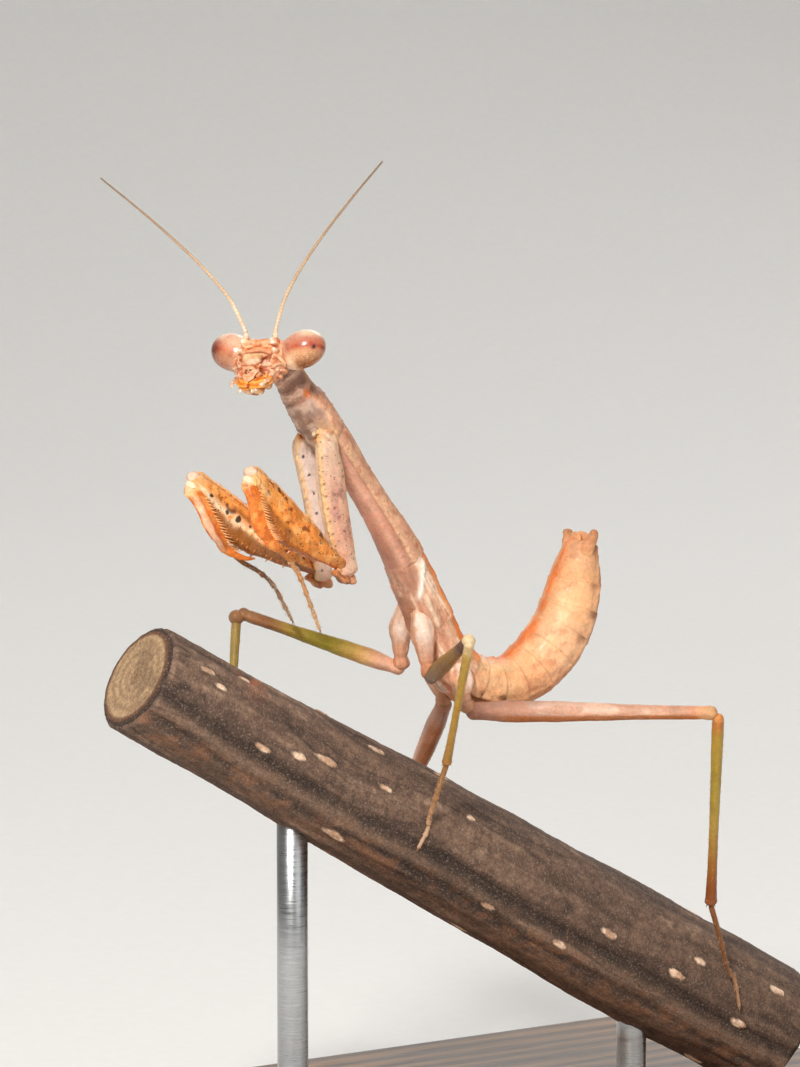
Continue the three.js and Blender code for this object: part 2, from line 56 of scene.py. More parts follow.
def outward(azimuth, elevation):
    """The direction from the object to a camera or a lamp, in degrees from its front."""
    a, e = math.radians(azimuth), math.radians(elevation)
    return Vector((math.sin(a) * math.cos(e), -math.cos(a) * math.cos(e), math.sin(e)))


def new_object(name, data, way=None, distance=0.0, facing=1):
    """An object in the scene. A camera or lamp stands a distance out from the place looked at and
    faces it, or turns its back to it where facing is -1."""
    thing = bpy.data.objects.new(name, data)
    bpy.context.scene.collection.objects.link(thing)
    if way is not None:
        thing.location = LOOK_AT + way * distance
        thing.rotation_euler = (way * facing).to_track_quat("Z", "Y").to_euler()
    return thing


camera = bpy.data.cameras.new("camera")
camera.lens, camera.sensor_width, camera.clip_start = LENS, SENSOR, 0.01
bpy.context.scene.camera = new_object("camera", camera, outward(AZIMUTH, ELEVATION), DISTANCE)

# ---------------------------------------------------------------- numbers and colours


def rgb(colour):
    """A linear colour from its display code; a colour in numbers stays as it is."""
    if not isinstance(colour, str):
        return colour
    values = np.array([int(colour[k:k + 2], 16) / 255 for k in (0, 2, 4)])
    return np.where(values <= 0.04045, values / 12.92, ((values + 0.055) / 1.055) ** 2.4)


def unit(v):
    v = np.asarray(v, float)
    return v / np.maximum(np.linalg.norm(v, axis=-1, keepdims=True), 1e-9)


def rise(x, start, end):
    """0 before start, 1 after end, smooth between; start may be the larger."""
    t = np.clip((x - start) / (end - start), 0, 1)
    return t * t * (3 - 2 * t)


def fall(x, start, end):
    return 1 - rise(x, start, end)


def span(x, a, b, c, d):
    """0 before a, 1 from b to c, 0 after d."""
    return rise(x, a, b) * fall(x, c, d)


def hump(x, centre, width):
    return np.exp(-(((x - centre) / width) ** 2))


def mix(a, b, amount):
    amount = np.asarray(amount)[..., None]
    return rgb(a) * (1 - amount) + rgb(b) * amount


def lay(colour, *coats):
    """A colour with coats laid over it in turn: each is a colour and how much of it there is."""
    for coat, amount in coats:
        colour = mix(colour, coat, amount)
    return colour


def between(x, places, table):
    """The rows of a table at x, where its rows are at these places."""
    return np.stack([np.interp(x, places, column) for column in np.transpose(table)], axis=-1)


def ramp(x, stops):
    """A colour along x through stops, each a place and a colour code."""
    stops = [stop.split() for stop in stops.split(",")]
    return between(x, [float(place) for place, _ in stops], [rgb(code) for _, code in stops])


def graded(x, values):
    """A smooth value along 0..1 through evenly spaced ones."""
    place = np.clip(x, 0, 1) * (len(values) - 1)
    k = np.minimum(place.astype(int), len(values) - 2)
    values = np.asarray(values, float)
    part = rise(place - k, 0, 1)
    return values[k] * (1 - part) + values[k + 1] * part


def noise(p, seed=0):
    """Smooth noise from -1 to 1, with one feature to a unit."""
    cell = np.floor(p).astype(np.int64)
    part = p - cell
    part = part * part * (3 - 2 * part)
    total = 0.0
    for corner in np.ndindex(2, 2, 2):
        c = cell + np.array(corner)
        h = c[..., 0] * 73856093 ^ c[..., 1] * 19349663 ^ c[..., 2] * 83492791 ^ (seed * 7919 + 13)
        h = ((h ^ (h >> 13)) * 1274126177) & 0x7FFFFFFF
        h = (h ^ (h >> 15)) & 0xFFFF
        weight = np.prod(np.where(np.array(corner) == 1, part, 1 - part), axis=-1)
        total = total + weight * (h / 32767.5 - 1)
    return total


def rough(p, octaves=3, seed=0):
    return sum(noise(p * 2 ** k, seed + k) / 2 ** k for k in range(octaves))


def warts(p, size, seed, keep):
    """Round bumps from 0 to 1, scattered about one to a cell of that size."""
    q = p / size
    cell = np.floor(q).astype(np.int64)
    best = np.zeros(p.shape[:-1])
    for shift in np.ndindex(3, 3, 3):
        c = cell + np.array(shift) - 1
        jitter = np.stack([noise(c * 1.0 + 0.5 + 7.3 * k, seed + 11 * k) for k in range(4)], axis=-1)
        distance = np.linalg.norm(q - (c + 0.5 + 0.8 * jitter[..., :3]), axis=-1)
        size_here = 0.22 + 0.2 * (jitter[..., 3] + 1) / 2
        there = jitter[..., 3] > 1 - 2 * keep
        best = np.maximum(best, np.where(there, np.clip(1 - distance / size_here, 0, 1), 0))
    return best * best * (3 - 2 * best)


# ---------------------------------------------------------------- shells

CURVE_POINTS = 500  # a loft's line is worked out at this many points
CAP_RINGS = 5  # rings that round off each end of a loft


def resample(rows, count):
    """Evenly spaced rows of a smooth curve; the first three values of a row are its place."""
    rows = np.asarray(rows, float)
    p = np.vstack([2 * rows[0] - rows[1], rows, 2 * rows[-1] - rows[-2]])
    t = np.linspace(0, 1, 24, endpoint=False)[:, None]
    fine = []
    for a, b, c, d in zip(p[:-3], p[1:-2], p[2:-1], p[3:]):
        cubic = (3 * b - a - 3 * c + d) * t ** 3
        fine.append(0.5 * (2 * b + (c - a) * t + (2 * a - 5 * b + 4 * c - d) * t ** 2 + cubic))
    fine = np.vstack([*fine, rows[-1:]])
    s = np.concatenate([[0], np.cumsum(np.linalg.norm(np.diff(fine[:, :3], axis=0), axis=1))])
    at = np.linspace(0, s[-1], count)
    return between(at, s, fine), at


def shell(grid, first, last):
    """Points and faces of a closed shell from rings of points and its two poles."""
    rings, sides = grid.shape[:2]
    i, j = np.arange(rings - 1)[:, None] * sides, np.arange(sides)
    after, top = (j + 1) % sides, (rings - 1) * sides
    quads = np.stack([i + j, i + after, i + sides + after, i + sides + j], axis=-1).reshape(-1, 4)
    low = np.stack([after, j, np.full(sides, rings * sides)], axis=-1)
    high = np.stack([top + j, top + after, np.full(sides, rings * sides + 1)], axis=-1)
    return np.vstack([grid.reshape(-1, 3), first, last]), quads, np.vstack([low, high])


def boxy(x, square):
    """The sines and cosines of a round shape, changed to a boxier one's where square is below 1."""
    return np.sign(x) * np.abs(x) ** square


class Place:
    """Each point of a loft: t along it 0..1, s in mm, a from its back, away = |a|, place p, normal n."""


def loft(rows, dorsal=UP, sides=32, spacing=0.12, caps=(1.0, 1.0), wide=None, square=1.0, relief=None):
    """
    A round-ended shell along rows of [x, y, z, half width, half depth]. Depth lies along the
    dorsal direction. relief(place) gives how far the surface stands out.
    """
    fine, s = resample(rows, CURVE_POINTS)
    length = s[-1]
    cap = [min(c * min(row[3], row[4]), length / 2.2) for c, row in zip(caps, (fine[0], fine[-1]))]
    angles = np.linspace(0, math.pi / 2, CAP_RINGS + 2)[1:-1]
    body = np.linspace(cap[0], length - cap[1], max(4, int((length - sum(cap)) / spacing)))
    ends = 1 - np.cos(angles)
    at = np.concatenate([cap[0] * ends, body, length - cap[1] * ends[::-1]])
    shrink = np.concatenate([np.sin(angles), np.ones(len(body)), np.sin(angles[::-1])])[:, None]
    row = between(at, s, fine)
    along = unit(between(at, s, unit(np.gradient(fine[:, :3], axis=0))))
    if wide is None:
        deep = unit(dorsal - along * (along @ dorsal)[:, None])
        across = np.cross(along, deep)
    else:
        across = np.broadcast_to(wide, along.shape)
        deep = unit(np.cross(across, along))
    a = np.linspace(-math.pi, math.pi, sides, endpoint=False)
    sideways = across[:, None] * boxy(np.sin(a), square)[:, None]
    upwards = deep[:, None] * boxy(np.cos(a), square)[:, None]
    here = Place()
    here.a = np.broadcast_to(a, (len(at), sides))
    here.away = np.abs(here.a)
    here.s = np.broadcast_to(at[:, None], here.a.shape)
    here.t = here.s / length
    here.n = unit(sideways + upwards)
    wide_here, deep_here = row[:, 3:4] * shrink, row[:, 4:5] * shrink
    here.p = row[:, None, :3] + sideways * wide_here[..., None] + upwards * deep_here[..., None]
    if relief is not None:
        here.p = here.p + here.n * (relief(here) * shrink)[..., None]
    here.shell = shell(here.p, fine[0, :3], fine[-1, :3])
    return here


def ball(centre, half, sides=40, rings=26, square=1.0, turn=None):
    """A closed ball stretched to half sizes; square below 1 makes it boxy."""
    u = np.linspace(0, math.pi, rings + 2)[1:-1, None]
    v = np.linspace(-math.pi, math.pi, sides, endpoint=False)[None, :]
    grid = np.stack([np.sin(u) * np.cos(v), np.sin(u) * np.sin(v), np.cos(u) + 0 * v], axis=-1)
    grid = boxy(grid, square) * half
    poles = np.array([[0, 0, half[2]], [0, 0, -half[2]]], float)
    turn = np.eye(3) if turn is None else turn
    grid, poles = grid @ turn.T + centre, poles @ turn.T + centre
    return shell(grid, *poles)


class Mass:
    """Closed shells gathered into one mesh, with values at each point."""

    def __init__(self):
        self.points, self.quads, self.triangles, self.tints, self.specks = [], [], [], [], []
        self.count = 0

    def add(self, made, tint, speck=0.0):
        points, quads, triangles = made
        total = len(points)
        self.points.append(points)
        self.quads.append(quads + self.count)
        self.triangles.append(triangles + self.count)
        tint = np.asarray(rgb(tint), float).reshape(-1, 3)
        speck = np.asarray(speck, float).reshape(-1, 1)
        for values, kept in ((tint, self.tints), (speck, self.specks)):
            if len(values) == total - 2:
                values = np.vstack([values, values[:1], values[-1:]])
            kept.append(np.broadcast_to(values, (total, values.shape[1])))
        self.count += total

    def put(self, made, tint, speck=0.0):
        """Adds a loft whose tint and speck are functions of its places or plain values."""
        self.add(made.shell, *(value(made) if callable(value) else value for value in (tint, speck)))

    def mesh(self, name, scale=1.0):
        mesh = bpy.data.meshes.new(name)
        faces = np.vstack(self.quads).tolist() + np.vstack(self.triangles).tolist()
        mesh.from_pydata((np.vstack(self.points) * scale).tolist(), [], faces)
        return mesh

    def build(self, name, material, slot, replaced=()):
        mesh = self.mesh(name, MM)
        mesh.update()
        shape = bmesh.new()
        shape.from_mesh(mesh)
        bmesh.ops.recalc_face_normals(shape, faces=shape.faces)
        shape.to_mesh(mesh)
        shape.free()
        mesh.polygons.foreach_set("use_smooth", [True] * len(mesh.polygons))
        tint = np.column_stack([np.clip(np.vstack(self.tints), 0, 1), np.ones(self.count)])
        mesh.attributes.new("tint", "FLOAT_COLOR", "POINT").data.foreach_set("color", tint.ravel())
        speck = np.clip(np.vstack(self.specks), 0, 1)
        mesh.attributes.new("speck", "FLOAT", "POINT").data.foreach_set("value", speck.ravel())
        mesh.materials.append(material)
        piece = new_object(name, mesh)
        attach(piece, "root")
        if replaced:
            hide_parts(*replaced)


def spike(mass, root, tip, radius, tint, point_tint, sides=6, sag=(0, 0, 0)):
    """A tapering hair, spine or claw from a root to a tip, bowed towards sag."""
    axis = unit(tip - root)
    side_a = unit(np.cross(axis, UP if abs(axis[2]) < 0.9 else LEFTWARD))
    side_b = np.cross(axis, side_a)
    a = np.linspace(0, 2 * math.pi, sides, endpoint=False)[:, None]
    ring = np.cos(a) * side_a + np.sin(a) * side_b
    places = np.array([0.0, 0.3, 0.6, 0.85])[:, None]
    girth = np.array([1.0, 0.82, 0.52, 0.24]) * radius
    centres = root + (tip - root) * places + places * (1 - places) * 4 * sag
    made = shell(centres[:, None] + ring * girth[:, None, None], root - axis * radius * 0.3, tip)
    shades = np.repeat(mix(tint, point_tint, places[:, 0] ** 1.3), sides, axis=0)
    mass.add(made, np.vstack([shades, rgb(tint), rgb(point_tint)]))


# ---------------------------------------------------------------- what the frame says


def box_mm(node):
    """The two corners of a CAD node's box."""
    return np.array([list(corner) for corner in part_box(node)]) / MM


def read(values, name, width, kind=float):
    """One value of every vertex, edge or face of a mesh."""
    table = np.empty(len(values) * width, kind)
    values.foreach_get(name, table)
    return table.reshape(-1, width)


def measure(node, count, start, across=None, stocky=False):
    """
    Sections of a CAD node from the end nearest to start: rows of [x, y, z, half width, half
    depth], with one more row at each end. A stocky node runs straight away from start.
    """
    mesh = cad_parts[node].data
    p = read(mesh.vertices, "co", 3) / MM
    edges = read(mesh.edges, "vertices", 2, np.int32)
    middle = p.mean(0)
    axis = unit(middle - start) if stocky else np.linalg.svd(p - middle, full_matrices=False)[2][0]
    ends = (p - middle) @ axis
    if np.linalg.norm(p[ends.argmin()] - start) >= np.linalg.norm(p[ends.argmax()] - start):
        axis = -axis
    across = np.cross(axis, UP) if across is None else across
    across = unit(across - axis * (across @ axis))
    deep = np.cross(axis, across)
    u, v, w = ((p - middle) @ way for way in (axis, across, deep))
    low, high = u.min(), u.max()
    step = (high - low) / count
    rows = []
    for k in range(count):
        level = low + (k + 0.5) * step + 1e-5
        da, db = u[edges[:, 0]] - level, u[edges[:, 1]] - level
        hit = da * db < 0
        part = (da / (da - db + 1e-12))[hit]
        cut = [x[edges[hit, 0]] + (x[edges[hit, 1]] - x[edges[hit, 0]]) * part for x in (v, w)]
        aside, under = ((c.max() + c.min()) / 2 for c in cut)
        centre = middle + axis * level + across * aside + deep * under
        rows.append([*centre, *((c.max() - c.min()) / 2 for c in cut)])
    rows = np.array([rows[0], *rows, rows[-1]])
    lead, trail = (unit(rows[k + 1, :3] - rows[k, :3]) for k in (1, -3))
    rows[0, :3] -= lead * step / 2
    rows[-1, :3] += trail * step / 2
    return rows


def grown(rows, before=0.0, after=0.0):
    """The same sections with both ends drawn out."""
    rows = rows.copy()
    rows[0, :3] -= unit(rows[1, :3] - rows[0, :3]) * before
    rows[-1, :3] += unit(rows[-1, :3] - rows[-2, :3]) * after
    return rows


def scaled(rows, width, depth):
    """Sections with their half sizes multiplied along the length by smooth values."""
    rows, _ = resample(rows, 40)
    t = np.linspace(0, 1, len(rows))
    rows[:, 3] *= graded(t, width)
    rows[:, 4] *= graded(t, depth)
    return rows


HIGH_END = (0, -30, 40)  # near the high end of the perch
BARK_LIFT = 0.12  # how far the bark stands outside its solid
PERCH_CUTS = 6
perch_rows = measure("perch", PERCH_CUTS, HIGH_END, LEFTWARD)
perch_axis = unit(perch_rows[-2, :3] - perch_rows[1, :3])
perch_start = perch_rows[0, :3]
perch_length = float(np.linalg.norm(perch_rows[-1, :3] - perch_rows[0, :3]))
perch_ends = (perch_rows[1, 3], perch_rows[-2, 3])


def perch_radius(along):
    """Nominal radius of the bark a distance along the perch from its high end."""
    part = (along / perch_length - 0.5 / PERCH_CUTS) * PERCH_CUTS / (PERCH_CUTS - 1)
    return perch_ends[0] + (perch_ends[1] - perch_ends[0]) * part + BARK_LIFT


# ---------------------------------------------------------------- materials


class Finish:
    """A material in the making; the inputs of its nodes are constants or other nodes' outputs."""

    def __init__(self, name):
        self.material = bpy.data.materials.new(name)
        self.material.use_nodes = True
        self.tree = self.material.node_tree
        self.shader = self.tree.nodes["Principled BSDF"]

    def fill(self, socket, value):
        if isinstance(value, bpy.types.NodeSocket):
            self.tree.links.new(value, socket)
        else:
            socket.default_value = value

    def add(self, kind, values=(), **settings):
        made = self.tree.nodes.new("ShaderNode" + kind)
        for key, value in settings.items():
            setattr(made, key, value)
        for key, value in dict(values).items():
            self.fill(made.inputs[key], value)
        return made.outputs

    def calc(self, operation, a, b):
        return self.add("Math", {0: a, 1: b}, operation=operation)[0]

    def times(self, a, b):
        return self.calc("MULTIPLY", a, b)

    def spread(self, value, low, high, to_low=0.0, to_high=1.0):
        values = {"Value": value, "From Min": low, "From Max": high, "To Min": to_low, "To Max": to_high}
        return self.add("MapRange", values)[0]

    def blend(self, amount, a, b, kind="MIX"):
        made = self.tree.nodes.new("ShaderNodeMix")
        made.data_type, made.blend_type = "RGBA", kind
        a, b = ((*rgb(c), 1.0) if isinstance(c, str) else c for c in (a, b))
        for key, value, sort in (("Factor", amount, "VALUE"), ("A", a, "RGBA"), ("B", b, "RGBA")):
            self.fill(next(s for s in made.inputs if s.name == key and s.type == sort), value)
        return next(s for s in made.outputs if s.type == "RGBA")

    def in_mm(self, squeeze=(1, 1, 1), turn=(0, 0, 0)):
        place = self.add("TexCoord")["Object"]
        turned_place = self.add("Mapping", {"Vector": place, "Rotation": turn})[0]
        size = tuple(s / MM for s in squeeze)
        return self.add("VectorMath", {0: turned_place, 1: size}, operation="MULTIPLY")[0]

    def cloud(self, place, scale, detail=3.0, roughness=0.55):
        values = {"Vector": place, "Scale": scale, "Detail": detail, "Roughness": roughness}
        return self.add("TexNoise", values)[0]

    def tinted(self, shade, green, blue):
        """The tint of each point times a shade, with less of its green and blue."""
        tint = self.add("Attribute", attribute_name="tint")["Color"]
        parts = {0: shade, 1: self.times(shade, green), 2: self.times(shade, blue)}
        return self.blend(1.0, tint, self.add("CombineColor", parts)[0], "MULTIPLY")

    def done(self, base, roughness, height, strength, distance, **constants):
        """The material with its colour, roughness and bump, and constants for its other inputs."""
        values = {"Height": height, "Strength": strength, "Distance": distance}
        normal = self.add("Bump", values)[0]
        sockets = {"Base Color": base, "Roughness": roughness, "Normal": normal}
        for key, value in constants.items():
            sockets[key.replace("_", " ").title().replace("Ior", "IOR")] = value
        for key, value in sockets.items():
            self.fill(self.shader.inputs[key], value)
        return self.material


def cuticle(name, roughness, grain=1.0, mottle=1.0, coat=0.0, soft=0.03, coat_roughness=0.12, gleam=0.5):
    """Insect skin: the tint of each point, mottled, dotted where speck says so, finely granular."""
    make = Finish(name)
    place = make.in_mm()
    broad = make.cloud(place, 0.8, 3)
    fine = make.cloud(place, 5.0, 4, 0.65)
    shade = make.times(make.spread(broad, 0.3, 0.7, 1 - 0.16 * mottle, 1 + 0.1 * mottle),
                       make.spread(fine, 0.3, 0.7, 1 - 0.14 * mottle, 1 + 0.1 * mottle))
    base = make.tinted(shade, 0.89, 0.76)
    warm = make.spread(make.cloud(place, 1.7, 2), 0.45, 0.75, 0.0, 0.5 * mottle)
    base = make.blend(warm, base, make.blend(1.0, base, (1.1, 0.84, 0.74, 1), "MULTIPLY"))
    layers = []
    for scale, size in ((2.1, 0.2), (4.3, 0.26), (7.5, 0.3)):
        cells = make.add("TexVoronoi", {"Vector": place, "Scale": scale})
        pick = make.add("SeparateColor", {0: cells["Color"]})[0]
        inside = make.calc("SUBTRACT", make.spread(pick, 0.35, 1.0, 0.0, size), cells["Distance"])
        layers.append(make.spread(inside, 0.0, 0.05))
    dots = make.calc("MAXIMUM", make.calc("MAXIMUM", layers[0], layers[1]), layers[2])
    dots = make.times(dots, make.add("Attribute", attribute_name="speck")["Fac"])
    base = make.blend(dots, base, "3b1c10")
    pits = make.add("TexVoronoi", {"Vector": place, "Scale": 6.5})["Distance"]
    height = make.calc("ADD", make.cloud(place, 11.0, 3, 0.6), make.times(pits, -0.5))
    height = make.calc("ADD", height, make.times(make.cloud(place, 3.2, 3, 0.6), 1.6))
    gloss = make.spread(fine, 0.3, 0.7, roughness - 0.08, roughness + 0.12)
    return make.done(
        base, gloss, height, 0.75 * grain, 0.00006, subsurface_weight=soft, subsurface_scale=0.0006,
        subsurface_radius=(1.0, 0.45, 0.25), specular_ior_level=gleam, coat_weight=coat,
        coat_roughness=coat_roughness)


skin_finish = cuticle("mantis_cuticle", 0.42, coat=0.14, coat_roughness=0.22, gleam=0.28)
eye_finish = cuticle("eye_cornea", 0.28, grain=0.06, mottle=0.35, coat=0.4, soft=0.1)
amber_finish = cuticle("jaw_chitin", 0.24, grain=0.4, mottle=0.7, coat=0.4, soft=0.15)
horn_finish = cuticle("spine_chitin", 0.3, grain=0.2, mottle=0.4, coat=0.2)
hair_finish = cuticle("hair_chitin", 0.4, grain=0.0, mottle=0.3)

# ---------------------------------------------------------------- trunk

SECTIONS = {
    "neck": 2, "prothorax": 5, "mesothorax": 2, "metathorax": 2,
    "abdomen_1": 3, "abdomen_2": 2, "abdomen_3": 2, "abdomen_4": 4,
}
RINGS = 9  # plates of the abdomen
PLATE_EDGE, PLATE_NARROWING = 1.72, 0.3  # how far round from the back the prothorax's plate reaches
HEAD_END = (0.0, -15.0, 59.0)  # near the front end of the neck

skin = Mass()


def trunk_rows():
    """Sections of the whole trunk, evened out where its CAD nodes meet, and where each one starts."""
    rows, starts = [], {}
    last = np.array(HEAD_END)
    for node, count in SECTIONS.items():
        part = measure(node, count, last, LEFTWARD, node != "neck")
        starts[node] = part[0, :3]
        rows.append(part[1:-1])
        last = part[-1, :3]
    tip = part[-1]
    tip[3:] *= (0.8, 0.74)
    lead = grown(rows[0], 1.5)[0]
    lead[3:] *= 0.92
    rows = np.vstack([lead[None], *rows, tip[None]])
    first = 10  # the first section of the metathorax
    for _ in range(2):
        inner, before, after = rows[first:-1], rows[first - 1:-2], rows[first + 1:]
        inner[:, 3:] = np.maximum(inner[:, 3:], (before[:, 3:] + after[:, 3:]) / 2)
        inner[:, :3] = (before[:, :3] + 2 * inner[:, :3] + after[:, :3]) / 4
    rows[-4:-1, 3:] *= np.array([[0.97], [0.93], [0.88]])
    return rows, starts


body_rows, body_starts = trunk_rows()
body_line, body_s = resample(body_rows, CURVE_POINTS)
MARK = {
    node: float(body_s[np.linalg.norm(body_line[:, :3] - place, axis=1).argmin()])
    for node, place in body_starts.items()
}
MARK["tip"] = float(body_s[-1])


def plate_edge(s):
    """How far round from the back the plate reaches; it is narrower over the hips of the fore legs."""
    return PLATE_EDGE - PLATE_NARROWING * fall(s, MARK["prothorax"] + 1.0, MARK["prothorax"] + 3.4)


def plate_of(s):
    """Which plate of the abdomen a place is in, and how far through it, 0 to 1."""
    whole = (s - MARK["abdomen_1"]) / (MARK["tip"] - 1.0 - MARK["abdomen_1"])
    place = np.clip(whole, 0, 0.9999) ** 0.92 * RINGS
    return np.floor(place), place - np.floor(place)


def bright_rib(s, a, meso):
    """A raised pale rib that slants from the back to the belly of the mesothorax."""
    return hump(a, 1.1 + 0.42 * (s - meso), 0.16) * span(s - meso, 0.1, 0.4, 2.0, 2.7)


def trunk_marks(g):
    """What the relief and the tint of the trunk share."""
    folds = np.sin(g.s * 5.4 + 1.6 * np.cos(g.away * 1.4) + 3.0 * noise(g.p * 0.9, 3))
    streaks = rough(np.stack([g.s * 0.45, g.away * 3.4, 0 * g.s], axis=-1), 3, 71)
    starts = (MARK[node] for node in ("prothorax", "mesothorax", "metathorax", "abdomen_1"))
    return g.s, g.away, g.p, plate_edge(g.s), folds, streaks, *starts


def trunk_relief(g):
    s, a, p, edge, folds, streaks, pro, meso, meta, belly = trunk_marks(g)
    neck = fall(s, pro - 0.1, pro + 0.35)
    fade = 0.5 + 0.5 * noise(p * 0.8, 4)
    out = 0.025 * rough(p * 2.4, 3, 5)
    out += neck * ((0.085 * folds * fade + 0.06 * rough(p * 2.6, 3, 6)) * rise(a, 0.5, 1.3) - 0.03)
    # the plate of the prothorax, with a toothed edge, a keel and a furrow
    front = span(s, pro, pro + 0.3, meso - 0.12, meso + 0.02)
    plate = fall(a, edge - 0.07, edge + 0.05)
    teeth = 0.07 * (0.6 + 0.4 * np.sin(s * 2 * math.pi / 0.46)) * hump(a, edge - 0.13, 0.09)
    keel = 0.06 * hump(a, 0, 0.13) - 0.03 * hump(a, 0.32, 0.16)
    lifted = plate * (0.1 + 0.07 * warts(p, 0.5, 21, 0.5)) - (1 - plate) * 0.04
    out += front * (lifted + teeth + keel)
    out += 0.2 * hump(s, pro + 2.3, 1.0) * hump(a, 1.55, 0.45)
    out -= 0.07 * plate * hump(s, pro + 3.3 - 0.25 * np.cos(a), 0.16)
    out += 0.13 * hump(s, pro + 1.6, 1.5) * rise(a, edge, edge + 0.35) * rough(p * 1.9, 3, 9)
    # plates of the middle and hind thorax, with their sutures and muscle swellings
    for start, end in ((meso, meta), (meta, belly)):
        part = np.clip((s - start) / (end - start), 0, 1)
        plates = (0.1 * part ** 2 - 0.03) * fall(a, 1.1, 1.5)
        plates += 0.09 * hump(part, 0.55, 0.28) * hump(a, 1.75, 0.35)
        plates -= 0.09 * hump(a + 0.5 * (part - 0.5), 1.32, 0.06) * rise(part, 0.05, 0.2)
        plates -= 0.08 * hump(a - 0.6 * (part - 0.5), 2.2, 0.06)
        out += plates * ((s >= start) & (s < end))
    chest = span(s, meso - 0.1, meso + 0.1, belly, belly + 0.3)
    out += 0.05 * chest * (hump(a, 0, 0.12) + rough(p * 1.3, 3, 31))
    out += 0.14 * bright_rib(s, a, meso) - 0.07 * chest * streaks * rise(a, 0.6, 0.9)
    # rings of the abdomen: each plate stands over the next, with a pleat along each side
    _, part = plate_of(s)
    rings = (0.055 * part ** 1.6 - 0.03 + 0.015 * hump(part, 0.93, 0.07)) * (0.55 + 0.45 * fall(a, 1.9, 2.1))
    rings += 0.07 * hump(a, 2.1, 0.1) * (0.5 + part) - 0.12 * hump(a, 2.3, 0.1)
    rings += 0.05 * hump(a, 0, 0.16) * (0.4 + part)
    rings += 0.045 * rough(p * 1.2, 3, 41) + 0.04 * warts(p, 0.62, 5, 0.35)
    return out + rings * rise(s, belly - 0.1, belly + 0.4)


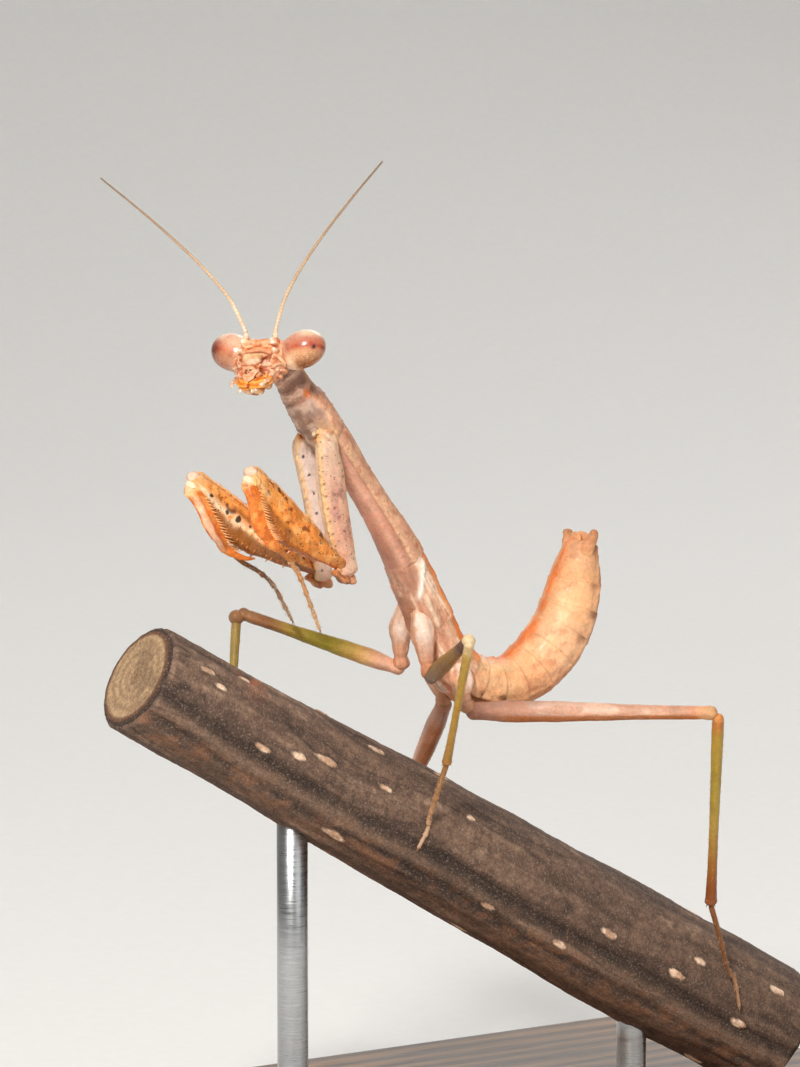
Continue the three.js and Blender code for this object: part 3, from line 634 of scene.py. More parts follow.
def trunk_tint(g):
    s, a, p, edge, folds, streaks, pro, meso, _, belly = trunk_marks(g)
    wave = rough(p * 0.9, 3, 51)
    streak = hump(a, 1.05 + 0.1 * noise(p * 0.7, 61), 0.14) * rise(noise(p * 1.1, 62), -0.2, 0.5)
    top = lay(
        ramp(a + 0.12 * wave, "0 c07c4c, 0.35 cc8a5c, 0.8 d29e84, 1.3 dcae98, 1.7 e8c2a6"),
        ("a97a60", 0.5 * streak),
        ("f3cfae", 0.5 * rise(rough(p * 1.9, 3, 63), 0.2, 0.6)),
        ("b3714c", 0.45 * rise(rough(p * 2.3, 3, 64), 0.3, 0.7)),
    )
    far = (s - pro) / (meso - pro)
    creased = rough(p * (1.9, 1.9, 1.3), 3, 9)
    throat = fall(far, 0.2, 0.34)
    below = lay(
        ramp(far, "0 a89088, 0.14 b0988f, 0.22 bca096, 0.32 cf9f90, 0.6 d3a496, 0.8 c08c7a, 1 a87c6e"),
        ("8e7468", 0.7 * rise(a + 0.2 * creased, 1.7, 2.4) * throat),
        # darker in the creases of the throat, painted shade, and paler on their crests, partly painted
        # highlight
        ("7c5c50", 0.25 * rise(-creased, 0.1, 0.6) * throat),
        ("ecdad0", 0.45 * rise(creased, -0.2, 0.6) * throat),
        # painted highlight: a pale pink band along the lower side of the prothorax
        ("f3c6b2", 0.5 * hump(a, 2.1, 0.25) * rise(far, 0.3, 0.5)),
    )
    front = mix(below, top, fall(a + 0.08 * wave, edge - 0.16, edge + 0.12))
    bands = folds + 0.6 * rough(p * 2.6, 3, 6)
    colour = lay(
        # the neck's folds are darker in their troughs and paler on their crests, painted shade and light;
        # the thin pale lines along them are partly painted highlight
        mix("9c7a6e", "c8a698", rise(bands, -0.6, 1.0)),
        ("f0dacc", 0.7 * hump(bands, 0.75, 0.14) + 0.4 * hump(bands, -0.2, 0.08)),
        ("c08a68", fall(a, 0.6, 1.2)),
        ("e8843c", 0.9 * hump(s, pro - 0.35, 0.3) * hump(a, 1.5, 0.22)),
        (front, rise(s, pro - 0.05, pro + 0.15)),
        ("d8a874", 0.6 * hump(s, pro + 2.3, 0.8) * hump(a, 1.8, 0.3)),
    )
    # middle and hind thorax
    part = np.clip((s - meso) / (belly - meso), 0, 1)
    beside = rise(a, 0.8, 1.05)
    chest = lay(
        ramp(a + 0.16 * wave,
             "0 ea8236, 0.8 f08c40, 0.98 f2ac78, 1.2 efc2a6, 1.6 eac0aa, 2.1 d8a690, 3 b98870"),
        # darker in the grooves between the lengthwise ridges, painted shade, and pale on the ridges, partly
        # painted highlight
        ("c08468", 0.5 * rise(streaks, 0.1, 0.6) * beside),
        ("fbe6d4", 0.85 * rise(-streaks, 0.1, 0.5) * rise(a, 0.95, 1.2)),
        ("a9654a", 0.5 * rise(rough(p * 1.5, 3, 73), 0.3, 0.7) * beside),
        ("f6e0d6", 0.7 * fall(part, 0.2, 0.4) * span(a, 0.95, 1.15, 1.4, 1.7)),
        ("b08878", 0.7 * fall(part, 0.15, 0.4) * rise(a + 0.2 * wave, 1.6, 2.0)),
        ("ffffff", 0.95 * bright_rib(s, a, meso)),
    )
    slant = 0.5 * rise(a, 1.6, 2.0)
    colour = mix(colour, chest, rise(s + 0.3 * wave, meso - 0.15 - slant, meso + 0.05 + slant))
    # abdomen
    ring, along = plate_of(s)
    blotch = rise(along + 0.1 * wave, 0.6, 0.95) * rise(noise(p * 0.6, 81), -0.5, 0.1)
    pale = rise(rough(p * (0.8, 0.5, 0.35), 3, 84), 0.0, 0.6)
    side = ramp(
        ring + along + 0.8 * wave,
        "0 eab58f, 1 f1c79f, 2 efbd92, 3 f5bc90, 4 f9c094, "
        "5 fbc8a2, 6 f9cca6, 7 f6c69c, 8 efbd92, 9 e6b48e",
    )
    side = lay(
        mix("e6823e", side, rise(a + 0.2 * wave, 0.0, 0.45)),
        ("d2946a", rise(a, 2.1, 2.7)),
        ("6e4230", 0.85 * blotch * hump(a, 1.98 + 0.1 * wave, 0.26)),
        ("c08466", 0.35 * rise(rough(p * 1.5, 3, 82), 0.25, 0.7)),
        ("c98a60", 0.3 * hump(along, 0.015, 0.03) * fall(a, 2.2, 2.6)),
        # pale patches on the left side, which faces the light, partly painted highlight
        ("fde0b8", 0.6 * pale * hump(a, 1.1, 0.7)),
    )
    return mix(colour, side, rise(s, belly - 0.1, belly + 0.15))


def trunk_speck(g):
    pro, meso, edge = MARK["prothorax"], MARK["mesothorax"], plate_edge(g.s)
    front = span(g.s, pro, pro + 0.4, meso - 0.2, meso + 0.3)
    return 0.45 * front * fall(g.away, edge - 0.1, edge + 0.1) + 0.12 * (1 - front)


trunk = loft(body_rows, sides=168, spacing=0.075, caps=(0.4, 0.4), wide=LEFTWARD, relief=trunk_relief)
skin.put(trunk, trunk_tint, trunk_speck)

# ---------------------------------------------------------------- tail

tail = unit(body_rows[-1, :3] - body_rows[-3, :3])
for name, side in SIDES.items():
    rows = grown(measure(f"cercus_{name}", 3, body_rows[-2, :3]), 0.9, 0.25 if side > 0 else -0.1)
    rows[0, :3] -= tail * 0.4
    rows[:, 3:] = np.linspace(0.55, 0.26, len(rows))[:, None] * (1.0, 0.8)
    made = loft(rows, tail + LEFTWARD * side, 28, 0.05, relief=lambda g: 0.06 * rough(g.p * 3, 2, 85))
    skin.put(made, lambda g: ramp(g.t, "0 f0bd92, 0.6 dca47c, 1 b98460"), 0.3)
tail_turn = np.column_stack([LEFTWARD, np.cross(tail, LEFTWARD), tail])
for lift, half in ((0.5, (0.7, 0.2, 0.66)), (0.0, (0.95, 0.3, 0.74)), (-0.55, (0.8, 0.26, 0.6))):
    centre = body_rows[-1, :3] - tail * 0.25 - tail_turn[:, 1] * lift
    skin.add(ball(centre, half, 36, 24, 0.85, tail_turn), "e0aa80", 0.2)

# ---------------------------------------------------------------- spines and hairs

spines, hairs, claws = Mass(), Mass(), Mass()
rng = np.random.default_rng(11)


def hair(root, direction, length, radius, light):
    direction = unit(direction + rng.normal(0, 0.22, 3))
    spike(hairs, root, root + direction * length, radius, light, "b9a896", 4)


def ahead_on(made, i, j, reach):
    """The direction towards a loft's end along its surface."""
    return unit(made.p[min(i + reach, len(made.p) - 1), j] - made.p[max(i - reach, 0), j])


def hairs_along(made, number, length, reach, radius, forward, light, keep=None):
    """Short hairs that stand on a part of a loft, from and to a place 0..1, leaning towards its end."""
    rings, sides = made.p.shape[:2]
    low, high = (int(end * (rings - 1)) for end in reach)
    for _ in range(number):
        i, j = rng.integers(low, max(high, low + 1)), rng.integers(0, sides)
        if keep is None or keep(made.n[i, j]):
            direction = made.n[i, j] + ahead_on(made, i, j, 1) * forward
            hair(made.p[i, j], direction, length * rng.uniform(0.6, 1.2), radius, light)


def comb(made, row, count, reach, length, radius, swing, inward, tints, big=0, spare=0.3):
    """A row of two-coloured spines along a loft, at the points nearest to one direction round it."""
    for k in range(count):
        t = reach[0] + (reach[1] - reach[0]) * k / (count - 1)
        i = int(np.abs(made.t[:, 0] - t).argmin())
        j = int(np.abs(np.angle(np.exp(1j * (made.a[i] - row)))).argmin())
        ahead = ahead_on(made, i, j, 2)
        size = length * (1 + spare * rng.uniform(-1, 1)) * (1.5 if big and k % big == 0 else 1.0)
        size *= 0.5 + 0.5 * rise(k / count, 0.0, 0.7)
        direction = unit(made.n[i, j] * 0.8 + ahead * swing + inward)
        root = made.p[i, j] - made.n[i, j] * 0.03
        point = mix(*tints, 0.35 + 0.65 * k / count)
        girth = radius * (0.6 + 0.4 * size / length)
        spike(spines, root, root + direction * size, girth, tints[0], point, 8, ahead * size * 0.1)


def tarsus(rows, tints, joints=(0.42, 0.6, 0.74, 0.86)):
    """A foot of five pieces with small lobes at their ends."""
    def relief(g):
        lobes = sum(hump(g.t, j - 0.012, 0.024) for j in joints)
        necks = sum(hump(g.t, j + 0.02, 0.014) for j in joints)
        return 0.03 * (lobes - necks + rise(g.away, 2.0, 2.6) * lobes)
    made = loft(rows, sides=20, spacing=0.06, relief=relief)
    skin.put(made, lambda g: ramp(g.t + 0.04 * noise(g.p * 2, 7), tints), 0.5)
    return made


def claw_pair(rows, length, down):
    tip = rows[-1, :3]
    ahead = unit(tip - rows[-2, :3])
    across = unit(np.cross(ahead, UP))
    down = np.asarray(down) * length
    for side in (1, -1):
        end = tip + unit(ahead + across * side * 0.5) * length + down * 0.35
        spike(claws, tip - ahead * 0.05, end, 0.055, "b98a5c", "3c2416", 8, -down * 0.18)


# ---------------------------------------------------------------- fore legs


def coxa_relief(g):
    a, t, p = g.a, g.t, g.p
    ridges = hump(a, 2.75, 0.22) + hump(a, 0.45, 0.25) + hump(a, -2.6, 0.25) + hump(a, -0.5, 0.3)
    teeth = 0.05 * hump(a, 2.75, 0.16) * (1 + np.sin(g.s * 2 * math.pi / 0.62))
    lobes = 0.08 * hump(t, 0.15, 0.04) + 0.07 * hump(t, 0.97, 0.04)
    lobes += 0.14 * rough(p * 1.8, 3, 94) * fall(t, 0.1, 0.25)
    grain = 0.018 * rough(p * 2.5, 3, 91) + 0.03 * warts(p, 0.42, 92, 0.4)
    return 0.07 * ridges + teeth - 0.05 * (hump(a, 1.55, 0.5) + hump(a, -1.55, 0.5)) + lobes + grain


def coxa_tint(g, side):
    """Pale pink outer face, yellowish ridges, bluish white inner face, dark dots along the ridge."""
    a, t, p = g.away, g.t, g.p
    outer = rise(np.sin(g.a) * side, -0.15, 0.25)
    face = ramp(t + 0.1 * noise(p, 3), "0 e4d2bc, 0.12 e4ccbc, 0.5 dfb6a4, 0.85 dcae9a, 1 ecd0c0")
    inner = ramp(t, "0 d8b898, 0.2 ece4e4, 0.7 ecdede, 1 e2c4b4")
    purple = rise(rough(p * (1.5, 1.5, 0.7), 3, 95), 0.05, 0.6) * hump(t, 0.62, 0.25) * outer
    ridge = hump(a, 2.72, 0.24) + 0.8 * hump(a, 0.45, 0.22)
    dots = hump(a, 2.5, 0.1) * rise(np.cos(g.s * 2 * math.pi / 0.8), 0.78, 0.95) * rise(t, 0.08, 0.16)
    pairs = np.hypot((a - 2.1 + 0.2 * noise(p * 0.8, 97)) / 0.17, np.sin(g.s * math.pi / 1.27) / 0.34)
    pairs = rise(pairs + 0.8 * noise(p * 7, 98), 1.0, 0.65) * rise(t, 0.12, 0.2) * (1 - outer)
    return lay(
        mix(inner, face, outer),
        ("b08084", 0.5 * purple),
        ("7e4a46", 0.7 * purple * rise(noise(p * 4.6, 99), 0.2, 0.4)),
        ("f0cd92", np.clip(0.85 * ridge, 0, 1)),
        ("4f3524", 0.8 * dots * outer),
        ("3a2a20", 0.9 * pairs),
        (mix("b97a50", "f3c890", rise(noise(p * 2.4, 96), -0.4, 0.5)),
         0.8 * fall(t, 0.08, 0.2) * rise(rough(p * 1.8, 3, 94), -0.5, 0.4)),
    )


def femur_domes(g):
    """Raised spots along the lower part of a fore femur, 0 to 1."""
    return warts(g.p, 0.75, 117, 0.45) * hump(g.away, 1.95, 0.3) * hump(g.t, 0.5, 0.2)


def femur_relief(g):
    a, t, p = g.away, g.t, g.p
    upper = 0.10 * hump(g.a, 0, 0.16) - 0.05 * hump(a, 0.5, 0.25)
    lower = 0.62 * rise(a, 1.9, 2.7) * hump(t, 0.56, 0.27) - 0.12 * hump(a, 3.0, 0.45) * rise(t, 0.02, 0.3)
    edge = 0.06 * hump(a, 2.45, 0.16) * rise(t, 0.05, 0.2)
    scallop = 0.04 * hump(a, 2.25, 0.25) * np.cos(g.s * 2 * math.pi / 1.1) * hump(t, 0.45, 0.3)
    keel = 0.045 * hump(a, 1.45 + 0.25 * t, 0.09) * rise(t, 0.35, 0.55)
    lobe = 0.08 * hump(a, 1.9, 0.3) * rise(t, 0.78, 0.9) - 0.05 * rise(t, 0.955, 0.975)
    grain = 0.03 * rough(p * 3.2, 3, 101) + 0.06 * warts(p, 0.3, 102, 0.5)
    grain -= 0.05 * rise(noise(p * 2.2, 115), 0.4, 0.6)
    return upper + lower + edge + scallop + keel + lobe + 0.1 * femur_domes(g) + grain * fall(t, 0.9, 0.95)


ROW_SPOTS = (  # of the right femur's pale row: from the knee, and size
    (1.75, 0.17), (3.3, 0.19), (4.15, 0.18), (5.1, 0.13), (5.6, 0.11), (6.3, 0.13),
)


def femur_row(g, colour, wave):
    """Painted shade on the inner side of the right femur below its pale row, the pale row and its black
    spots.
    """
    t, p = g.t, g.p
    facing = rise(g.n[..., 0], 0.1, 0.5)
    from_row = g.a + 1.62 + 0.25 * t + 0.14 * wave
    broken = np.maximum(rise(noise(p * (2.0, 2.6, 2.6), 125), -0.9, -0.3), rise(t, 0.75, 0.8))
    colour = lay(
        colour,
        # painted shade on the inner face below the pale row
        (ramp(t, "0 94664e, 0.35 8e6440, 0.5 96602a, 1 b8701e"),
         0.92 * rise(-from_row, 0.1, 0.3) * facing * fall(t, 0.86, 0.94)),
        ("fff0d2", 0.98 * hump(from_row, 0.0, 0.23) * span(t, 0.36, 0.5, 0.9, 0.95) * facing * broken),
    )
    behind = (1 - t) * g.s.max()
    for far, size in ROW_SPOTS:
        beside = from_row - 0.16 - 0.1 * math.sin(far * 9)
        off_spot = np.hypot(beside / (0.9 * size), (behind - far) / size)
        off_mark = np.hypot((from_row + 0.2) / size, (behind - far - 0.45) / (0.4 * size))
        colour = lay(
            colour,
            ("2a120a", 0.95 * rise(off_spot + 0.35 * noise(p * 4, 119), 1.0, 0.75) * facing),
            ("a4562c", 0.6 * rise(off_mark + 0.8 * noise(p * 7, 126), 1.0, 0.6) * facing),
        )
    stain = hump(from_row, 0.5, 0.2) * rise(noise(p * 1.3, 118), -0.2, 0.3)
    return mix(colour, "8a3f14", 0.7 * stain * span(t, 0.45, 0.6, 0.84, 0.92) * facing)


def femur_tint(g, banded):
    a, t, p = g.away, g.t, g.p
    wave = rough(p * 1.3, 3, 111)
    olive = rise(noise(p * 3.6, 122) + 0.4 * noise(p * 8, 123), 0.0, 0.3) * fall(t, 0.25, 0.42)
    pits = rise(noise(p * 2.2, 115) + 0.3 * noise(p * 6, 116), 0.4, 0.62) * span(a, 0.25, 0.5, 1.6, 1.9)
    domes = femur_domes(g)
    colour = lay(
        ramp(t + 0.05 * wave, "0 dc8848, 0.12 e89c58, 0.3 f09c4c, 0.55 faa048, 0.75 fdaa50, 0.88 fcb668, "
                              "0.96 f5c890"),
        ("d07a36", 0.25 * rise(wave, 0.25, 0.75)),
        ("f6bd84", 0.45 * rise(rough(p * 1.7, 3, 113), 0.3, 0.7)),
        ("f3d0b8", 0.9 * hump(a, 0.12, 0.12) * fall(t, 0.85, 0.95)),
        ("b8622e", 0.7 * hump(a, 0.42, 0.1) * rise(t, 0.3, 0.4)),
        ("c0702e", 0.5 * rise(noise(p * 1.1, 121), 0.05, 0.45) * hump(a, 1.2, 0.5) * hump(t, 0.52, 0.22)),
        ("ffca84", 0.5 * rise(noise(p * (2.2, 3.2, 3.2), 128), 0.15, 0.4)),
        ("946434", 0.45 * olive * fall(a, 2.2, 2.5)),
        ("2e1208", 0.9 * rise(noise(p * 1.9, 124), 0.52, 0.6) * fall(a, 1.9, 2.1) * fall(t, 0.85, 0.9)),
        ("cf7434", 0.9 * rise(a, 2.35, 2.6) * fall(t, 0.4, 0.7)),
        ("7a3210", 0.8 * pits * fall(t, 0.82, 0.9)),
        # painted shade: dark brown along the lower face, where the tibia closes against the femur
        (mix("b8732c", "8e4f20", rise(wave, -0.3, 0.6)), 0.85 * rise(a, 2.0, 2.25) * hump(t, 0.6, 0.3)),
        ("fbb070", 0.9 * rise(domes, 0.1, 0.5)),
        # painted highlight: near white on the tops of the domes
        ("fff2e0", 0.8 * rise(domes, 0.75, 0.95)),
        ("fbd3a4", 0.85 * hump(a, 1.75 + 0.3 * (0.95 - t), 0.14) * rise(t, 0.74, 0.82)),
    )
    colour = femur_row(g, colour, wave) if banded else colour
    return mix(colour, "f3c080", rise(t, 0.95, 0.97))


def tibia_tint(g, pale):
    t, p, down = g.t, g.p, -np.cos(g.a)
    colour = lay(
        ramp(t, "0 f8e4c8, 0.08 f6cf9a, 0.115 dc7626, 0.3 ee8c3a, 0.7 f29242, 1 ea8428"),
        ("c45e18", 0.6 * rise(rough(p * 1.8, 3, 121), 0.1, 0.5)),
        ("fbc078", 0.5 * rise(noise(p * 2.6, 127), 0.15, 0.5)),
    )
    if not pale:
        return colour
    towards = rise(down + 0.15 * noise(p * 1.6, 128), 0.1, 0.35) * (0.8 + 0.2 * noise(p * 2.5, 131))
    return lay(
        colour,
        (ramp(t, "0 f8e4c8, 0.09 f3c890, 0.13 eeb080, 0.25 fbdac4, 0.58 fbdec8, 0.72 f3a050"),
         towards * fall(down, 0.85, 0.97) * fall(t, 0.7, 0.76)),
        ("b0604a", 0.7 * hump(-down, 0.02, 0.08) * span(t, 0.1, 0.16, 0.62, 0.7)),
    )


def femur_rows(name, start):
    """Sections of a fore femur without its thorns: the upper edge stays where it is."""
    rows = measure(f"fore_femur_{name}", 10, start)
    line, _ = resample(rows, 11)
    axis = unit(rows[-1, :3] - rows[0, :3])
    deep = unit(UP - axis * (axis @ UP))
    t = np.linspace(0, 1, len(line))
    depth = graded(t, [0.36, 0.8, 1.0, 1.0, 0.84, 0.5])
    up = line[:, 4] - graded(t, [0, 0, 0, 0.05, 0.2]) - depth
    width = graded(t, [0.44, 0.52, 0.55, 0.52, 0.46])
    return np.column_stack([line[:, :3] + deep * up[:, None], width, depth])


FORE_HIP = (1.62, -11.35, 51.5)  # near the top of the left coxa's solid
COXA_TOP = (0.85, -10.9, 52.7, 0.36, 0.4)  # the coxa's first section, inside the trunk
ACROSS = unit([0.475, 0.88, 0.0])  # level, and nearly at right angles to the photograph's view
INWARD = unit([0.0, 1.0, 0.2])  # from a fore tibia towards its femur
HIP_KNOBS = (  # place from the top of the coxa, size and colour
    ((0.1, -0.95, -0.75), 0.17, "f0dcc4"), ((-0.12, -0.75, -0.95), 0.15, "e39a5e"),
    ((0.42, -0.85, -0.6), 0.16, "efcba2"), ((-0.3, -0.8, -0.55), 0.14, "ecd6bc"),
    ((0.25, -0.9, -1.15), 0.13, "d98c55"),
)
KNEE_BALLS = (  # place from the end of the femur, half sizes, rim and middle colours; the middle is a painted highlight towards the light and the rim painted shade
    ((0, 0.2, -0.22), (0.46, 0.5, 0.38), "d9966c", "f6e0d0"),
    ((0, 0.1, -0.78), (0.48, 0.5, 0.55), "eaa25c", "fff4de"),
)
TIBIA_ASIDE = {  # how far the tibia lies beside its solid, leftwards and backwards, along its length
    "left": ([0.0, 0.5, 0.78, 0.8, 0.75], [0.0, 0.0, -0.15, -0.32, -0.3]),
    "right": ([0.0, 0.6, 1.0, 1.1, 0.7], [0.0, 0.0, -0.08, -0.12, -0.2]),
}
HOOK = {  # places of the tibia's end hook from its last section
    "left": ((-0.05, 0.25, -0.28), (-0.2, 0.48, -0.4), (-0.38, 0.66, -0.42), (-0.5, 0.78, -0.38)),
    "right": ((0.0, 0.55, -0.42), (0.0, 1.2, -0.72), (0.0, 1.75, -0.86), (0.0, 2.2, -0.9)),
}
FORE_TARSUS = {
    "left": "0 d9853c, 0.3 c98a4e, 0.45 b98a5c, 1 c9a684",
    "right": "0 c07a3c, 0.25 94683f, 0.5 6f5440, 1 b39c84",
}


def fore_coxa(name, side):
    coxa = measure(f"fore_coxa_{name}", 7, np.array(FORE_HIP) * (side, 1, 1), LEFTWARD)
    coxa[0] = np.array(COXA_TOP) * (side, 1, 1, 1, 1)
    coxa[1, 3:] *= 0.86
    middle = np.sin(np.linspace(0, math.pi, len(coxa))) ** 2
    coxa[1:-1, 3:] *= 1.1 if side > 0 else 0.95
    coxa[:, :3] += middle[:, None] * ACROSS * (-0.15 if side > 0 else 0.28)
    made = loft(grown(coxa, 0.0, 0.22), BACKWARD, 72, 0.07, (1.0, 0.9), square=0.95, relief=coxa_relief)
    skin.put(made, lambda g: coxa_tint(g, side),
             lambda g: 0.75 * rise(g.t, 0.03, 0.12) * rise(g.n[..., 0] * side, -0.5, 0.3))
    for k in range(7):
        at = made.p[int((0.12 + 0.12 * k) * len(made.p)), np.abs(made.a[0] - 2.75).argmin()]
        spike(spines, at, at + unit([0.2 * side, -0.9, 0.1]) * 0.16, 0.05, "f0d3a0", "d8a468", 8)
    for shift, size, code in HIP_KNOBS:
        centre = coxa[0, :3] + np.array(shift) * (side, 1, 1)
        skin.add(ball(centre, (size, size * 0.8, size * 1.1), 20, 14), code, 0.2)
    return coxa[-1, :3]


def fore_trochanter(name, start):
    rows = grown(measure(f"fore_trochanter_{name}", 3, start), 0.3, 0.3)
    made = loft(rows, UP, 48, 0.06, relief=lambda g: (
        0.05 * rough(g.p * 1.8, 3, 131) - 0.1 * hump(g.t, 0.34, 0.06) + 0.07 * np.cos(3 * g.a)))
    skin.put(made, lambda g: mix(ramp(g.t, "0 e6b493, 0.4 c08a68, 1 d08a52"), "8a5a40",
                                 0.6 * rise(rough(g.p * 1.8, 3, 132), 0.0, 0.5)), 0.6)
    return rows[-1, :3]


def fore_knee(knee):
    """A pale dome over the end of the femur, a drop-shaped lobe on either side; the balls of the knee carry
    a painted highlight towards the light and painted shade at their rims.
    """
    for shift, half, rim, middle in KNEE_BALLS:
        points, *faces = ball((0, 0, 0), half, 56, 38)
        # painted highlight: the middle colour on the side towards the light, and painted shade in the rim
        # colour away from it
        facing = (points / half) @ unit([0.7, -0.6, 0.25]) + 0.2 * noise(points * 4, 130)
        points = points * (1 + 0.04 * rough(points * 3, 3, 129)[:, None])
        skin.add((points + knee + shift, *faces), mix(rim, middle, rise(facing, 0.1, 0.85)), 0.1)
    for out in (1, -1):
        points, *faces = ball((0, 0, 0), (0.15, 0.17, 0.48), 24, 20)
        points[:, :2] *= 1 - 0.25 * points[:, 2:] / 0.48
        shade = ramp(points[:, 2], "-0.48 fff0d4, -0.2 f3d28c")
        skin.add((points + knee + (0.38 * out, 0.26, -0.72), *faces), shade)


def fore_tibia(name, side, knee):
    tibia = measure(f"fore_tibia_{name}", 9, knee)[:8]
    for axis, shift in enumerate(TIBIA_ASIDE[name]):
        tibia[:, axis] += graded(np.linspace(0, 1, len(tibia)), shift)
    tibia[0, :3] = knee + (0, 0.06, -0.7)
    tibia[1, :3] = knee + (0.1, 0.0, -1.05)
    hook = [[*(tibia[-1, :3] + step), 0.2, 0.2] for step in HOOK[name]]
    blade = np.vstack([tibia, hook])
    girth = np.linspace(0, 1, len(blade))
    blade[:, 3] = graded(girth, [0.38, 0.34, 0.32, 0.26, 0.17, 0.05])
    blade[:, 4] = graded(girth, [0.46, 0.5, 0.54, 0.38, 0.2, 0.05])
    made = loft(blade, INWARD, 56, 0.055, (1.0, 0.5), relief=lambda g: (
        0.05 * hump(g.away, 0.85, 0.16) + 0.07 * hump(g.t, 0.05, 0.045) + 0.018 * rough(g.p * 3, 3, 141)
        - 0.05 * hump(g.a, 0, 0.4)))
    skin.put(made, lambda g: tibia_tint(g, side < 0), 0.35)
    for row in (0.85, -0.85):
        comb(made, row, 20, (0.17, 0.76), 0.66, 0.05, 0.75, INWARD * 0.7 + LEFTWARD * 0.35,
             ("ffc488", "3a1408" if side < 0 else "c05a22"), spare=0.12)
    return made, tibia[-1]


def make_fore_leg(name, side):
    femur = femur_rows(name, fore_trochanter(name, fore_coxa(name, side)))
    made_femur = loft(grown(femur, 0.55, -0.05), UP, 96, 0.055, (0.9, 0.8), relief=femur_relief)
    skin.put(made_femur, lambda g: femur_tint(g, side < 0),
             lambda g: 0.95 * fall(g.t, 0.84, 0.92) * (1 - 0.6 * rise(g.away, 2.3, 2.6)))
    for row in (2.45, -2.45):
        comb(made_femur, row, 17, (0.14, 0.8), 0.3, 0.05, 0.25, UP * -0.2, ("f0a050", "3a1a0c"), big=4)
    comb(made_femur, math.pi - 0.12, 4, (0.2, 0.5), 0.62, 0.08, 0.2, UP * -0.1, ("e8a888", "fff2e8"))
    knee = femur[-1, :3]
    fore_knee(knee)
    made_tibia, ankle = fore_tibia(name, side, knee)
    thin = np.vstack([ankle, measure(f"fore_tarsus_{name}", 6, knee - UP * 6)])
    thin[:, 3:] = np.linspace(0.17, 0.1, len(thin))[:, None]
    made = tarsus(thin, FORE_TARSUS[name], (0.52, 0.66, 0.78, 0.88))
    hairs_along(made, 170, 0.17, (0.3, 0.99), 0.017, 0.5, "f6efe2")
    claw_pair(thin, 0.34, (0, -0.4, -0.5))
    hairs_along(made_tibia, 60, 0.13, (0.1, 0.95), 0.012, 0.3, "f3d7b0", keep=lambda n: n @ INWARD < 0)
    hairs_along(made_femur, 70, 0.1, (0.1, 0.95), 0.012, 0.3, "f6dcc0")


for name, side in SIDES.items():
    make_fore_leg(name, side)

# ---------------------------------------------------------------- walking legs

LEG_TINTS = {  # coxa, femur, tibia and tarsus
    "mid_left": (
        "0 cf9678, 0.35 ecc9b0, 0.6 e0ab8b, 1 c98a68",
        "0 84560a, 0.3 8e6400, 0.72 987000, 0.79 7c480c, 0.82 5e2c0c, 0.94 6e3412, 0.955 e3d0ac, 1 efe0c0",
        "0 f0e2c2, 0.05 e0cfa0, 0.12 c1a654, 0.5 b8994a, 0.85 b3904e, 1 a67c46",
        "0 9c7648, 0.5 b8916c, 1 d2b6a2",
    ),
    "mid_right": (
        "0 d39c7e, 0.3 eed3c2, 0.6 e6b99e, 1 d9a284",
        "0 f0c4b0, 0.16 ecbca4, 0.28 d6b468, 0.45 b0a838, 0.68 9c8838, 0.82 8c5e3c, 0.93 a27c5a, 1 9a7350",
        "0 a08256, 0.1 9e8c4e, 0.5 a89a58, 1 8e7648",
        "0 8e6e48, 1 a98a70",
    ),
    "hind": (
        "0 d9a184, 0.4 e2b497, 1 c08d6d",
        "0 ac7e6c, 0.2 b4948a, 0.45 e4c2b4, 0.75 edc6b0, 0.9 e0a988, 0.96 e6b98e, 1 e9b884",
        "0 d99a58, 0.04 c08040, 0.1 b0953e, 0.35 ac9a40, 0.6 b8a052, 0.75 a87a38, 0.9 98572a, 1 8e5a36",
        "0 96663e, 0.5 8e6343, 1 b08e72",
    ),
}


HIPS = {"mid": (1.2, -4.1, 40.7), "hind": (1.3, -1.9, 37.1)}  # near the top of the left coxae
HIP_INSIDE = (0.55, 0.3, 0.6)  # the first section: its x, and how far it lies behind and over the hip


def settle(rows, foot_radius):
    """Draws the far part of a foot down until it rests on the bark."""
    rows = rows.copy()
    for k, row in enumerate(rows[1:], 1):
        place = row[:3] - perch_start
        along = float(place @ perch_axis)
        out = place - perch_axis * along
        distance = float(np.linalg.norm(out))
        target = perch_radius(along) + foot_radius
        moved = distance + (target - distance) * float(rise(k / (len(rows) - 1), 0.1, 0.7))
        row[:3] = perch_start + perch_axis * along + unit(out) * max(moved, target)
    return rows


def leg_ridges(g, height):
    return height * np.cos(4 * g.a + 0.4) + 0.012 * rough(g.p * 2.8, 3, 151)


def hip_stripes(g):
    """Waves round a coxa, from -1 to 1."""
    return np.cos(7 * g.a + 2.5 * noise(g.p, 163))


def hip_relief(g):
    ends = 0.08 * hump(g.t, 0.93, 0.05) - 0.07 * hump(g.t, 0.83, 0.03)
    return (0.06 * hump(np.cos(g.a - 1.9), 1, 0.3) + 0.03 * rough(g.p * 1.8, 3, 161) + ends
            + 0.02 * hip_stripes(g) * fall(g.t, 0.7, 0.85))


def hip_tint(g, stops):
    # painted highlight: near white on the middle of the coxa, on the side that faces the light
    facing = rise(g.n @ unit([0.6, -0.2, 0.3]), 0.35, 0.8) * hump(g.t, 0.45, 0.24)
    return lay(
        ramp(g.t, stops),
        ("b07a5c", 0.4 * rise(rough(g.p, 2, 162), 0.1, 0.6)),
        # darker in the troughs of the folds, partly painted shade
        ("c08468", 0.4 * rise(-hip_stripes(g), 0.4, 1.0)),
        ("fdf2f0", 0.8 * facing * rise(noise(g.p * (2, 2, 0.7), 164), -0.5, 0.2)),
    )


